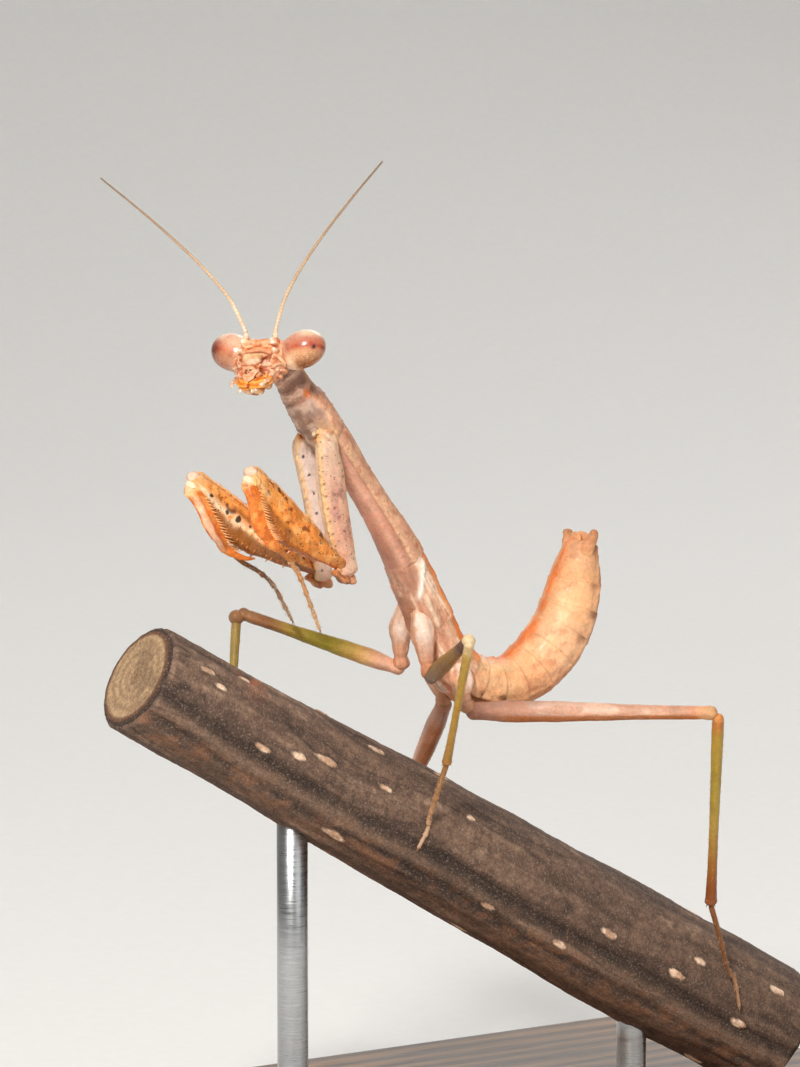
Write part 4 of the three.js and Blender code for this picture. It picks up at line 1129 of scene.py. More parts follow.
def thigh_tint(g, stops, pair, side):
    """The femur of a walking leg."""
    t, up = g.t, g.n[..., 2]
    colour = ramp(t + 0.012 * noise(g.p * 2, 171), stops)
    if pair == "hind":
        return lay(
            colour,
            ("b8713a", 0.85 * rise(-up, 0.1, 0.45) * span(t, 0.08, 0.2, 0.9, 0.95)),
            # painted highlight: pale pink on the upper face of the hind femur
            ("f3ddd6", 0.55 * hump(up, 0.45, 0.35) * span(t, 0.15, 0.35, 0.85, 0.95)),
            ("c08a70", 0.5 * rise(rough(g.p * (0.6, 0.6, 1.5), 2, 172), 0.25, 0.6)),
        )
    # a band along the upper side: on the right femur pale, a painted highlight; on the left femur
    # yellow-green
    code, strength = ("b8a23a", 0.3) if side > 0 else ("f0dccc", 0.6)
    return mix(colour, code, strength * hump(np.cos(g.a - 0.8), 1, 0.25) * fall(t, 0.72, 0.78))


def make_leg(pair, name, side):
    tints = LEG_TINTS["hind" if pair == "hind" else f"mid_{name}"]
    hip = np.array(HIPS[pair]) * (side, 1, 1)
    coxa = measure(f"{pair}_coxa_{name}", 4, hip)
    femur = measure(f"{pair}_femur_{name}", 8, coxa[-1, :3])
    tibia = measure(f"{pair}_tibia_{name}", 8, femur[-1, :3])
    foot = measure(f"{pair}_tarsus_{name}", 6, tibia[-1, :3])

    x, back, up = HIP_INSIDE
    inside = np.array([side * x, hip[1] + back, hip[2] + up, *(coxa[1, 3:] * 0.9)])
    if side > 0 and pair == "mid":
        inside[0] -= 0.35
        coxa[:-1, 0] -= 0.3
    coxa = np.vstack([inside, grown(coxa, 0, 0.25)[2:]])
    line = scaled(coxa, [0.95, 1.05, 1.15, 0.85, 0.95], [0.95, 1.1, 1.2, 0.9, 0.95])
    made = loft(line, BACKWARD, 56, 0.08, relief=hip_relief)
    skin.put(made, lambda g: hip_tint(g, tints[0]), 0.15)

    line = scaled(grown(femur, 0.3, -0.05), [0.92, 1.12, 1.02, 0.9, 0.84, 0.82, 0.82],
                  [0.95, 1.2, 1.08, 0.94, 0.86, 0.84, 0.84])
    made_femur = loft(line, UP, 48, 0.08, relief=lambda g: (
        leg_ridges(g, 0.022) + 0.03 * hump(g.t, 0.97, 0.02) - 0.03 * hump(g.t, 0.94, 0.01)
        + 0.04 * hump(g.t, 0.03, 0.03)))
    skin.put(made_femur, lambda g: thigh_tint(g, tints[1], pair, side), 0.18 if pair == "hind" else 0.1)

    hinge = (femur[-1, :3] + tibia[0, :3]) / 2
    if pair == "hind":
        skin.add(ball(hinge - UP * 0.04, (0.36, 0.38, 0.38), 32, 24), "e3a05c", 0.1)
    elif side < 0:
        skin.add(ball(hinge + UP * 0.04, (0.5, 0.52, 0.5), 32, 24), "9a7350", 0.1)
    shin = grown(tibia, 0.0, 0.12)
    shin[0] = [*(femur[-1, :3] * 0.75 + tibia[0, :3] * 0.25), *(tibia[0, 3:] * 0.9)]
    taper = [1.0, 0.96, 0.94, 0.9, 0.92, 1.05]
    made_tibia = loft(scaled(shin, taper, taper), UP, 36, 0.08, relief=lambda g: (
        leg_ridges(g, 0.012) + (0.0 if pair == "hind" else 0.05) * hump(g.t, 0.025, 0.02)
        + 0.05 * hump(g.t, 0.985, 0.02)))
    skin.put(made_tibia, lambda g: ramp(g.t + 0.01 * noise(g.p * 2, 173), tints[2]), 0.16)
    ahead = unit(tibia[-1, :3] - tibia[-2, :3])
    across = unit(np.cross(ahead, UP))
    for swing in (1, -1):
        root = tibia[-1, :3] - ahead * 0.1 + across * swing * 0.16
        tip = root + unit(ahead + across * swing * 0.5 - UP * 0.1) * 0.42
        spike(spines, root, tip, 0.06, "b48f53", "5a3a20", 8)

    ankle = tibia[-1] + (tibia[-1] - tibia[-2]) * 0.1
    thin = settle(np.vstack([ankle, foot[[2, 4, 5, -1]]]), 0.13)
    thin[:, 3:] = np.linspace(0.19, 0.12, len(thin))[:, None]
    made = tarsus(thin, tints[3])
    hairs_along(made, 90, 0.15, (0.05, 0.99), 0.013, 0.6, "d8c6b0")
    tip = thin[-1, :3] - perch_start
    claw_pair(thin, 0.36, unit(perch_axis * (tip @ perch_axis) - tip))
    hairs_along(made_tibia, 110, 0.14, (0.05, 0.98), 0.012, 0.6, "cfbf98")
    hairs_along(made_femur, 60, 0.11, (0.05, 0.95), 0.011, 0.6, "dccab0")


for pair in ("mid", "hind"):
    for name, side in SIDES.items():
        make_leg(pair, name, side)

# ---------------------------------------------------------------- head

HEAD_TURN, HEAD_ROLL, HEAD_NOD = 33.0, -5.0, -28.0
EYE_PLACE = (2.44, -0.05, 0.05)  # middle of the left eye: lateral, forward and up from the head's


def turned(axis, degrees):
    return np.array(Matrix.Rotation(math.radians(degrees), 3, axis))


head_turn = turned("Z", HEAD_TURN) @ turned("Y", HEAD_ROLL) @ turned("X", HEAD_NOD)
eye_middle = np.mean([box_mm(f"eye_{name}") for name in SIDES], axis=(0, 1))
head_centre = eye_middle - head_turn @ (np.array(EYE_PLACE) * (0, -1, 1))


def in_head(p):
    """Points given as lateral, forward, up in the head."""
    return head_centre + (np.asarray(p, float) * (1, -1, 1)) @ head_turn.T


HEAD_PARTS = [  # centre and half sizes, lateral, forward, up, and squareness
    ((0, 0.1, 0.05), (1.75, 0.95, 0.62), 0.75),
    ((0, 0.3, -0.85), (1.5, 1.12, 1.45), 0.85),
    ((0, 0.75, -1.75), (1.1, 0.95, 0.85), 0.9),
    ((0, 1.25, -1.1), (0.86, 0.42, 0.66), 0.7),
    ((0, 1.5, -1.8), (0.8, 0.42, 0.4), 0.8),
    ((0, 1.62, -2.2), (0.84, 0.36, 0.36), 0.85),
    ((0, 1.6, -2.42), (0.44, 0.28, 0.4), 1.0),
    ((0, 0.95, 0.28), (0.62, 0.32, 0.3), 0.9),
    # the rest stand on both sides
    ((1.2, 0.02, -0.22), (0.8, 0.9, 0.9), 1.0),
    ((1.02, 1.0, 0.18), (0.33, 0.36, 0.36), 1.0),
    ((1.18, 1.12, -0.42), (0.3, 0.22, 0.2), 1.0),
    ((1.3, 0.62, -1.2), (0.5, 0.55, 0.62), 0.9),
    ((1.02, 0.95, -1.75), (0.34, 0.42, 0.46), 0.95),
    ((1.5, 0.36, -1.56), (0.42, 0.36, 0.17), 1.0),
    ((1.32, 0.5, -1.98), (0.42, 0.3, 0.18), 1.0),
]


def head_shell():
    """Points, normals and faces of the head capsule as one surface, in head places."""
    gathered = Mass()
    for centre, half, square in HEAD_PARTS:
        for side in (1, -1) if centre[0] else (1,):
            gathered.add(ball(np.array(centre) * (side, 1, 1), half, 40, 26, square), (0, 0, 0))
    thing = new_object("head_parts", gathered.mesh("head_parts"))
    remesh = thing.modifiers.new("whole", "REMESH")
    remesh.mode, remesh.voxel_size = "VOXEL", 0.028
    smooth = thing.modifiers.new("smooth", "SMOOTH")
    smooth.factor, smooth.iterations = 0.6, 6
    evaluated = thing.evaluated_get(bpy.context.evaluated_depsgraph_get())
    whole = evaluated.to_mesh()
    p, n = (read(whole.vertices, key, 3) for key in ("co", "normal"))
    quads = read(whole.polygons, "vertices", 4, np.int32)
    evaluated.to_mesh_clear()
    bpy.data.objects.remove(thing)
    return p, n, quads


def line_mask(l, u, a, b, width):
    """1 on a straight line from a to b on the face, falling off beside it."""
    d = np.subtract(b, a)
    t = np.clip(((l - a[0]) * d[0] + (u - a[1]) * d[1]) / (d @ d), 0, 1)
    return hump(np.hypot(l - a[0] - t * d[0], u - a[1] - t * d[1]), 0, width)


FACE_LINES = {  # lines of one side of the face, from one place to the other, lateral and up, and width
    "folds": (  # dark creases beside the shield, darkened with painted shade
        ((0.93, -0.74), (0.7, -1.35), 0.045), ((1.04, -0.9), (1.02, -1.3), 0.035),
        ((0.7, -1.35), (0.5, -1.74), 0.05), ((0.74, -1.72), (1.2, -1.6), 0.045),
        ((1.28, -0.82), (1.78, -1.3), 0.04), ((1.78, -1.3), (1.28, -1.78), 0.045),
        ((1.22, -0.9), (1.3, -1.0), 0.08), ((0.74, -1.66), (0.84, -2.1), 0.04),
    ),
    "edges": (  # pale raised edges beside the creases, lightened with painted highlight
        ((0.66, -1.64), (1.04, -1.38), 0.045), ((1.3, -0.7), (1.88, -1.22), 0.045),
        ((1.3, -1.6), (1.84, -1.22), 0.05), ((1.12, -0.8), (1.14, -1.3), 0.04),
        ((0.5, -1.62), (0.66, -1.3), 0.04),
    ),
    # gaps: lines between the plates of the lower face, painted dark red as shade
    "gaps": (((0.42, -1.84), (0.5, -1.96), 0.07), ((0.72, -1.88), (0.98, -1.86), 0.08)),
}
ARC_BEND = (-0.74, -0.06, 0.03)  # the arc over the shield: its height, bow and ripple
SHIELD = ([-1.8, -1.62, -1.2, -1.0, -0.8], [0.5, 0.62, 0.76, 1.0, 1.02])  # heights and half widths
# the same of the upper lip
LABRUM = ([-2.9, -2.72, -2.45, -2.1, -1.75], [-0.1, 0.28, 0.6, 0.84, 0.78])
RIGHT_FOLDS_OUT = 0.16  # the folds of the right side lie further out


def face_lines(p):
    """Masks of the lines, folds and plates of the face."""
    l, f, u = p.T
    front = rise(f, 0.25, 0.6)
    height, bow, ripple = ARC_BEND
    bend = u - (height + bow * l ** 2 + ripple * np.sin(3 * l))
    half = np.interp(u, *SHIELD) - np.abs(l + 0.1)
    inside = np.interp(u, *LABRUM) - np.abs(l + 0.08)
    lip = rise(f, 1.1, 1.35) * fall(u, -1.86, -1.72)
    m = {
        "arc": hump(bend, 0, 0.036) * front * fall(np.abs(l), 0.95, 1.15),
        "shield": rise(half, -0.02, 0.07) * span(u, -1.78, -1.68, -0.88, -0.8) * front,
        "shield_rim": hump(half, -0.03, 0.05) * span(u, -1.75, -1.6, -0.9, -0.82) * front,
        "clypeus_line": hump(u, -1.76 + 0.1 * l ** 2, 0.03) * front * fall(np.abs(l), 0.35, 0.6),
        "labrum": rise(inside, -0.02, 0.06) * lip,
        "labrum_rim": hump(inside, -0.02, 0.035) * lip,
        "lip_edge": hump(inside, 0.11, 0.06) * lip * fall(u, -2.3, -2.0),
    }
    bent = u + 0.09 * noise(p * 2.2, 221)
    for side in (1, -1):
        x = l * side - (RIGHT_FOLDS_OUT if side < 0 else 0.0)
        half_face = {
            key: np.max([line_mask(x, bent, *line) for line in lines], axis=0)
            for key, lines in FACE_LINES.items()
        }
        half_face["folds"] *= 0.5 + 0.5 * rise(noise(p * 2.6, 223), -0.4, 0.3)
        half_face["pocket"] = hump(x, 0.66, 0.1) * hump(bent, -1.16, 0.16)
        half_face["pale_plate"] = hump(x, 0.86, 0.12) * hump(bent, -1.4, 0.17)
        corner = 1.75 - x - 1.05 * np.abs(bent + 1.32)
        half_face["side_plate"] = rise(x, 1.1, 1.2) * rise(corner, -0.02, 0.06)
        socket = line_mask(l * side, u, (1.0, 0.3), (1.12, 0.05), 0.13) * 0.85
        half_face["white"] = np.maximum(socket, line_mask(l * side, u, (1.18, -0.42), (1.22, -0.44), 0.1))
        for key, mask in half_face.items():
            m[key] = np.maximum(m.get(key, 0.0), mask * front)
    return m


FACE_HEIGHTS = {  # how far the lines and plates of the face stand out
    "arc": -0.12, "labrum_rim": -0.08, "shield": 0.07, "shield_rim": -0.06, "clypeus_line": -0.06,
    "edges": 0.07, "pale_plate": 0.05, "folds": -0.1, "pocket": -0.05, "gaps": -0.1, "white": 0.1,
    "side_plate": 0.04,
}


def build_head():
    p, n, quads = head_shell()
    l, f, u = p.T
    m = face_lines(p)
    wide = np.abs(l)
    front, crown, middle = rise(f, 0.2, 0.6), rise(u, -0.5, -0.25), hump(l, 0, 0.75)
    wrinkle = rough(p * (1.6, 2.5, 5.5), 3, 201)
    crease = rough(p * 2.6 + 0.5 * wrinkle[:, None], 3, 205)
    near_eye = rise(wide, 1.2, 1.5)
    lumps = hump(l + 0.1 * noise(p * 2, 226), np.round(l / 0.36) * 0.36, 0.12)
    lumps = lumps * hump(u, 0.04, 0.13) * front * middle
    stripes = np.sin((wide * 1.3 - 0.45 * u) * 13 + 2.5 * noise(p * 1.6, 207))
    side_face = span(wide, 0.85, 1.05, 1.5, 1.8) * rise(-u, 0.5, 0.8) * front
    out = 0.12 * crown * wrinkle * (1 - 0.8 * near_eye) + 0.05 * crease * (1 - 0.7 * near_eye)
    out -= 0.16 * crown * middle * rise(u, 0.3, 0.6)
    out += 0.05 * crown * hump(u, 0.02, 0.08) * front * hump(l, 0, 0.8)
    out += 0.06 * hump(u, -0.62, 0.08) * front * fall(wide, 1.0, 1.3)
    out -= 0.045 * m["shield"] * hump(l, 0, 0.3) * hump(u, -1.15, 0.4)
    out += sum(height * m[key] for key, height in FACE_HEIGHTS.items())
    out += 0.07 * lumps + 0.03 * (stripes + rough(p * 4.5, 2, 208)) * side_face
    out += 0.03 * warts(p, 0.22, 211, 0.4) * crown
    p = p + n * out[:, None]

    colour = lay(
        # the crown is darker in the troughs of its wrinkles and paler on their crests, painted shade and
        # light; the pale lumps are partly painted highlight
        ramp(wrinkle, "-0.7 9a4a24, -0.25 d9824e, 0.15 f0ac7c, 0.55 ffe3bf"),
        ("dd7f55", 0.45 * rise(noise(p * (1.2, 1, 3), 213), 0.0, 0.6) * crown),
        ("ffdcb8", 0.7 * lumps + 0.5 * hump(u, 0.3 + 0.08 * l ** 2, 0.05) * front * hump(l, 0, 0.8)),
        ("d9b06a", 0.6 * rise(noise(p * 2.4, 227), 0.0, 0.4) * rise(u, 0.3, 0.5)),
    )
    below = ramp(u + 0.1 * crease, "-2.8 d9976c, -2.2 e2a67e, -1.7 cf9066, -1.2 dda27e, -0.6 e3a884")
    plate = lay(
        # darker in the creases of the shield, painted shade
        ramp(crease + 0.5 * noise(p * 4, 220), "-0.7 bd6c42, -0.1 e09c74, 0.4 f6cfae"),
        ("cbb27c", 0.6 * rise(noise(p * 2.3, 225), 0.05, 0.45)),
        # painted highlight: near white on the middle of the shield
        ("fffaf0", 0.8 * hump(l, 0.12, 0.3) * hump(u, -1.46, 0.2)),
        ("e8946c", 0.5 * rise(u, -0.95, -0.7)),
    )
    # the upper lip is darker in its creases and towards the head's right side, away from the light: painted
    # shade
    lip = mix("c9764e", "f6c3a0", rise(crease + 0.4 * noise(p * 5, 219) + 0.5 * l, -0.5, 0.6))
    from_middle = np.hypot((l - 0.5 * (u + 2.16)) / 0.34, (u + 2.16) / 0.22)
    lip_spots, spotted = noise(p * (9, 9, 17), 217), rise(from_middle, 1.2, 0.7) * front
    # the cheek is darker towards the bottom and in its creases, partly painted shade
    cheek = mix("d08a68", "f3c8ac", rise(u + 0.2 * crease, -2.1, -1.6))
    glints = rise(noise(p * 5.5, 228), 0.1, 0.3) * hump(wide, 1.6, 0.3) * hump(u, -1.72, 0.16)
    colour = lay(
        mix(below, colour, crown),
        (plate, m["shield"] * 0.95),
        (mix(lip, "fbd6c2", 0.8 * m["lip_edge"]), 0.95 * m["labrum"]),
        ("4a2c10", 0.9 * rise(lip_spots, 0.1, 0.24) * spotted),
        # painted glints: pale flecks among the dark spots of the upper lip
        ("e8dcc0", 0.7 * rise(-lip_spots, 0.2, 0.32) * spotted),
        # the folds beside the eyes are darker in their troughs and pale on their crests: painted shade and
        # light
        (mix("b8643c", "ffdcc4", rise(stripes + crease, -0.6, 0.8)), 0.8 * side_face),
        # darker in the creases of the side plates: painted shade
        (mix("a8582e", "e8a070", rise(crease, -0.4, 0.5)), 0.85 * m["side_plate"]),
        ("f6e6e6", 0.9 * m["pale_plate"]),
        # painted highlight along the raised edges
        ("ffe2c2", 0.9 * m["edges"]),
        ("8a3a14", 0.9 * m["pocket"]),
        # painted shade: dark red in the gaps between the plates of the lower face
        ("a42c10", 0.9 * m["gaps"]),
        (ramp(u, "-1.2 dfae88, -0.6 ecbf9a, 0 e8b496, 0.8 dcaa8e"),
         0.95 * rise(wide + 0.08 * crease, 1.2, 1.45) * rise(u, -1.1, -0.75)),
        (cheek, 0.75 * hump(wide, 1.4, 0.4) * hump(u, -1.68, 0.3) * (1 - m["edges"])),
        ("fff2e2", 0.9 * glints),
        # painted highlight: near white on the antenna sockets and a bump below them
        ("fffdf6", 0.95 * np.clip(m["white"], 0, 1)),
        # painted shade darkens the creases beside the shield
        ("a8481a", 0.9 * m["folds"] * (1 - 0.6 * m["edges"])),
        ("7e2810", 0.95 * m["arc"]),
        ("8c4626", 0.7 * m["shield_rim"] * rise(noise(p * 1.7, 224), -0.6, 0.0)),
        ("7a3a20", np.maximum(0.4 * m["clypeus_line"], 0.85 * m["labrum_rim"])),
        ("b0765a", 0.7 * rise(-f, 0.0, 0.5)),
    )
    skin.add((in_head(p), quads, np.zeros((0, 3), int)), colour, 0.12 + 0.2 * crown)
    return p, n


head_p, head_n = build_head()
for _ in range(90):
    k = rng.integers(0, len(head_p))
    if head_n[k, 1] > 0.1:
        root = in_head(head_p[k])
        hair(root, in_head(head_p[k] + head_n[k]) - root, 0.1, 0.01, "f0d8bc")

# ---------------------------------------------------------------- eyes

EYE_HALF = (1.58, 1.15, 1.2)  # lateral, forward, up, before its tilt
EYE_RINGS, EYE_SIDES = 150, 220
EYE_TURN = turned("Y", -20.0)
PUPIL = np.array([0.71, 0.57, -0.41])  # towards its side, forward, up, in the eye
STREAK_TILT = 0.18


def eye_level(d):
    """Height over the eye's dark streak; d is the direction from its middle, sideways, forward, up."""
    return d[..., 2] + 0.12 + STREAK_TILT * d[..., 0] + 0.035 * noise(d * 4, 301)


def eye_tint(d, side):
    """Bands, haze and speckles; the left eye has a pupil. The outer end of each eye is darkened with painted
    shade, and the right eye's outer half more strongly.
    """
    x, f, z = d[..., 0], d[..., 1], d[..., 2]
    level = eye_level(d)
    low = level - 0.36 * rise(x, 0.2, 0.95) * rise(-level, -0.1, 0.3) + 0.2 * rise(-x, -0.1, 0.5)
    stain = rise(noise(d * (3.5, 2, 2), 304), 0.1, 0.5) * hump(x, -0.5, 0.3) * hump(level, -0.2, 0.4)
    lines = np.sin(np.arctan2(z, f) * 1.2 + x * 15 + 1.2 * noise(d * 3, 303)) * hump(x, -0.52, 0.3)
    lines = lines * fall(level, 0.2, 0.7)
    strength = 0.35 if side > 0 else 0.85
    cells = noise(d * 26, 305)
    colour = lay(
        ramp(low, "-1.02 3c180c, -0.88 7a4228, -0.68 b87f58, -0.4 dcae88, 0 d09078, 0.4 cc9482, 0.8 d4a898, "
                  "1.1 e0b8a0"),
        ("f0dcc4", 0.85 * rise(x, 0.05, 0.5) * rise(level, 0.25, 0.6)),
        ("b03c22", 0.85 * hump(level, -0.11, 0.1) * rise(x, -0.45, 0.25)),
        ("b4543a", 0.85 * hump(level, -0.02, 0.3) * rise(x, -0.6, 0.1) * (0.6 + 0.4 * noise(d * 3, 302))),
        ("d9a88c", 0.5 * rise(-x, 0.45, 0.8)),
        ("9c5638", 0.6 * hump(x, -0.6, 0.12) * hump(level, -0.22, 0.16)),
        ("a8603e", 0.5 * stain),
        ("94482c", strength * rise(lines, 0.3, 0.75)),
        ("fbdcc0", strength * 0.8 * rise(-lines, 0.2, 0.7)),
        ("f3e0a8", 0.35 * rise(cells, 0.1, 0.5) * rise(-level, 0.2, 0.45)),
        ("b07a50", 0.3 * rise(-cells, 0.15, 0.5) * rise(-level, 0.2, 0.45)),
        ("fbe2cc", 0.9 * rise(-low, 0.15, 0.5) * rise(-x, 0.15, 0.5)),
        # painted shade: the outer end of each eye is darkened
        ("6e321c", 0.8 * rise(x - 0.5 * rise(level, -0.1, 0.3), 0.78, 1.0)),
    )
    if side > 0:
        near = np.linalg.norm(d - unit(PUPIL), axis=-1)
        tall = near - 0.05 * np.abs(z - PUPIL[2]) / (near + 0.01) + 0.03 * noise(d * 7, 307)
        return lay(colour, ("a03c26", 0.7 * fall(near, 0.1, 0.22)), ("1d0906", fall(tall, 0.035, 0.07)))
    colour = lay(
        colour,
        ("b07054", 0.7 * rise(-level, 0.0, 0.35)),
        ("f3d6bc", 0.75 * rise(-x, -0.4, 0.4) * rise(level, 0.0, 0.4)),
        ("6e2e20", 0.8 * hump(level, -0.16, 0.34) * rise(x, 0.0, 0.6)),
    )
    # painted shade: the right eye's outer half is darkened
    colour = mix(colour, colour * (0.55, 0.42, 0.42), rise(x - 0.2 * level, 0.1, 0.8))
    return mix(colour, "e8ae90", 0.6 * hump(x, -0.2, 0.3) * hump(level, 0.05, 0.25))


for name, side in SIDES.items():
    u = np.linspace(0, math.pi, EYE_RINGS + 2)[1:-1, None]
    v = np.linspace(-math.pi, math.pi, EYE_SIDES, endpoint=False)[None, :]
    # the poles lie at the two lateral ends
    d = np.stack([np.cos(u) + 0 * v, np.sin(u) * np.cos(v), np.sin(u) * np.sin(v)], axis=-1)
    egg = d * EYE_HALF * (1 + 0.06 * d[..., :1] * (0, 1, 1))
    egg[..., 2] -= 0.16 * rise(-d[..., 0], 0.0, 1.0) * rise(-d[..., 2], 0, 0.8)
    poles = np.array([[EYE_HALF[0], 0, 0], [-EYE_HALF[0], 0, 0]])
    egg, poles = (in_head((q @ EYE_TURN.T + EYE_PLACE) * (side, 1, 1)) for q in (egg, poles))
    eyeball = Mass()
    eyeball.add(shell(egg, *poles), eye_tint(d, side), 0.1 * rise(-eye_level(d), 0.3, 0.5))
    eyeball.build(f"eyeball_{name}", eye_finish, "eye", [f"eye_{name}"])

# ---------------------------------------------------------------- jaws and palps

jaws = Mass()


def jaw_plate(centre, half, code, tip=None):
    """A jaw plate given in head places, with a paler or darker lower edge."""
    points, *faces = ball((0, 0, 0), half, 44, 30, 0.9)
    grooves = 0.022 * np.sin(points[:, 0] * 16 + 3 * noise(points * 2, 311))
    grooves += 0.02 * rough(points * 3, 3, 313)
    shade = rise(points[:, 2] / half[2], -0.2, -0.95)
    points = points * (1 + grooves[:, None]) + centre
    colour = mix(mix(code, tip or code, shade), "b0602a", 0.4 * rise(noise(points * 3, 315), 0.2, 0.7))
    jaws.add((in_head(points), *faces), colour, 0.1)


MANDIBLE = [  # lateral, forward, up, half width and half depth from its hinge to its tip
    (1.02, 0.72, -2.02, 0.26, 0.3), (0.95, 0.98, -2.35, 0.32, 0.34), (0.72, 1.22, -2.66, 0.34, 0.36),
    (0.38, 1.4, -2.86, 0.32, 0.34), (-0.04, 1.46, -2.9, 0.24, 0.26),
]
PALPS = {  # girth, and places from the root to the tip
    "outer": (0.11, ((0.82, 1.0, -2.42), (1.06, 1.28, -2.46), (1.2, 1.56, -2.7), (1.1, 1.74, -2.98),
                     (0.98, 1.85, -3.12))),
    "inner": (0.09, ((0.35, 1.2, -3.0), (0.5, 1.42, -3.2), (0.52, 1.64, -3.34), (0.42, 1.8, -3.42))),
}


def jaw_ribs(g):
    return np.sin(g.a * 5 + 2.5 * noise(g.p * 1.6, 317))


def mandible_relief(g):
    return 0.03 * jaw_ribs(g) + 0.03 * rough(g.p * 3, 3, 318) - 0.06 * hump(g.t, 0.36, 0.03)


def mandible_tint(g):
    return lay(
        # darker in the grooves between the ribs and paler on the ribs: painted shade and light
        mix("d97c22", "fbb24c", rise(jaw_ribs(g), -0.7, 0.6)),
        ("a84a1a", 0.75 * rise(rough(g.p * 2.2, 3, 319), 0.2, 0.6)),
        ("c98a62", fall(g.t, 0.1, 0.3)),
    )


for side in (1, -1):
    sections = np.array(MANDIBLE)
    sections[:, :3] = in_head(sections[:, :3] * (side, 1, 1))
    jaws.put(loft(sections, UP, 48, 0.035, (0.7, 0.7), relief=mandible_relief), mandible_tint, 0.15)
    jaw_plate((0.34 * side, 0.85, -3.0), (0.36, 0.4, 0.22), "c9824a", "f3cfa6")
    jaw_plate((0.8 * side, 0.7, -2.5), (0.3, 0.4, 0.36), "c08056", "e6b48c")
jaw_plate((0, 0.62, -2.72), (0.62, 0.34, 0.5), "b87a52")

for side in (1, -1):
    for girth, path in PALPS.values():
        widths = np.linspace(girth, girth * 0.75, len(path))
        rows = np.column_stack([in_head(np.array(path) * (side, 1, 1)), widths, widths])
        joints = len(path) - 1
        made = loft(rows, UP, 22, 0.03,
                    relief=lambda g: 0.035 * np.abs(np.sin(g.t * math.pi * joints)) - 0.02)
        jaws.put(made, lambda g: ramp(g.t, "0 d9935c, 0.5 e9b48a, 1 f3dcc2"), 0.2)
        hairs_along(made, 44, 0.16, (0.2, 0.99), 0.013, 0.7, "f6ead8")
        for k in range(7):
            ring = made.p[int(len(made.p) * rng.uniform(0.45, 0.95))]
            size = rng.uniform(0.04, 0.075)
            jaws.add(ball(ring[rng.integers(0, len(ring))], (size, size, size), 14, 10), "fff6e8")

# ---------------------------------------------------------------- feelers

BEADS = 62


def feeler_beads(g):
    return np.abs(np.sin(g.t * math.pi * BEADS))


def feeler_relief(g):
    scape = 0.045 * hump(g.t, 0.014, 0.012) + 0.03 * hump(g.t, 0.04, 0.008) - 0.03 * hump(g.t, 0.03, 0.004)
    beads = (0.012 * feeler_beads(g) ** 0.7 - 0.006) * rise(g.t, 0.05, 0.06)
    return scape + beads * (0.5 + hump(g.t, 0.45, 0.3))


def feeler_tint(g):
    colour = ramp(g.t, "0 fbeedd, 0.1 f3e0ca, 0.3 d9c2a8, 0.6 b09a86, 1 8f7c6c")
    return mix(colour, "6e5848", 0.45 * rise(-feeler_beads(g), -0.35, -0.1))


for name, side in SIDES.items():
    rows = measure(f"antenna_{name}", 9, in_head((side * 1.0, 1.0, 0.3)))
    root = in_head((side * 1.02, 1.02, 0.38))
    first = root + unit(rows[1, :3] - root + UP) * 0.5
    rows = np.vstack([[*root, 0.17, 0.17], [*first, 0.13, 0.13], rows[1:]])
    rows[2:, 3:] = np.linspace(0.12, 0.05, len(rows) - 2)[:, None]
    made = loft(rows, np.array([0, 1.0, 0.1]), 18, 0.035, relief=feeler_relief)
    feeler = Mass()
    feeler.put(made, feeler_tint)
    feeler.build(f"feeler_{name}", skin_finish, "feeler", [f"antenna_{name}"])
    hairs_along(made, 26, 0.12, (0.0, 0.1), 0.012, 0.5, "f6ead8")
    hairs_along(made, 120, 0.07, (0.1, 0.98), 0.007, 0.8, "cbb8a4")

# ---------------------------------------------------------------- the insect's pieces

LEG_PARTS = {
    "fore": ("coxa", "trochanter", "femur", "tibia", "tarsus"),
    "mid": ("coxa", "femur", "tibia", "tarsus"),
    "hind": ("coxa", "femur", "tibia", "tarsus"),
}
covered = ["head", *SECTIONS]
for name in SIDES:
    covered.append(f"cercus_{name}")
    covered += [f"{pair}_{part}_{name}" for pair, parts in LEG_PARTS.items() for part in parts]
skin.build("mantis_skin", skin_finish, "thorax", covered)
jaws.build("jaws_and_palps", amber_finish, "fore_leg", ["mouthparts"])
spines.build("leg_spines", horn_finish, "fore_leg")
claws.build("claws", horn_finish, "fore_leg")
hairs.build("fine_hairs", hair_finish, "feeler")

# ---------------------------------------------------------------- perch

BARK_ROUND = 3.9  # mm round the bark to a radian
MORE_LENTICELS = 26  # on the far side, at random
LENTICELS = [  # along from the middle of the perch, round from its top, length
    (-25.2, 52, 1.2), (-24.0, 62, 0.9), (-22.2, 36, 1.0), (-19.6, 96, 1.3), (-17.0, 86, 1.1),
    (-15.0, 76, 1.9), (-11.2, 34, 1.4), (-11.5, 138, 2.2), (-10.2, 72, 1.0), (-3.2, 56, 0.7),
    (0.8, 122, 1.2), (7.0, 120, 1.2), (9.8, 90, 1.6), (16.0, 92, 1.5), (17.5, 72, 1.2), (22.5, 104, 1.5),
    (24.5, 60, 1.3),
]
more = np.random.default_rng(23)
for _ in range(MORE_LENTICELS):
    LENTICELS.append((more.uniform(-26, 26), more.uniform(165, 375), more.uniform(0.7, 2.0)))


def noise_along(values, seed):
    """Noise that changes only with one value."""
    return noise(np.stack([values, 0 * values, 0 * values], axis=-1), seed)


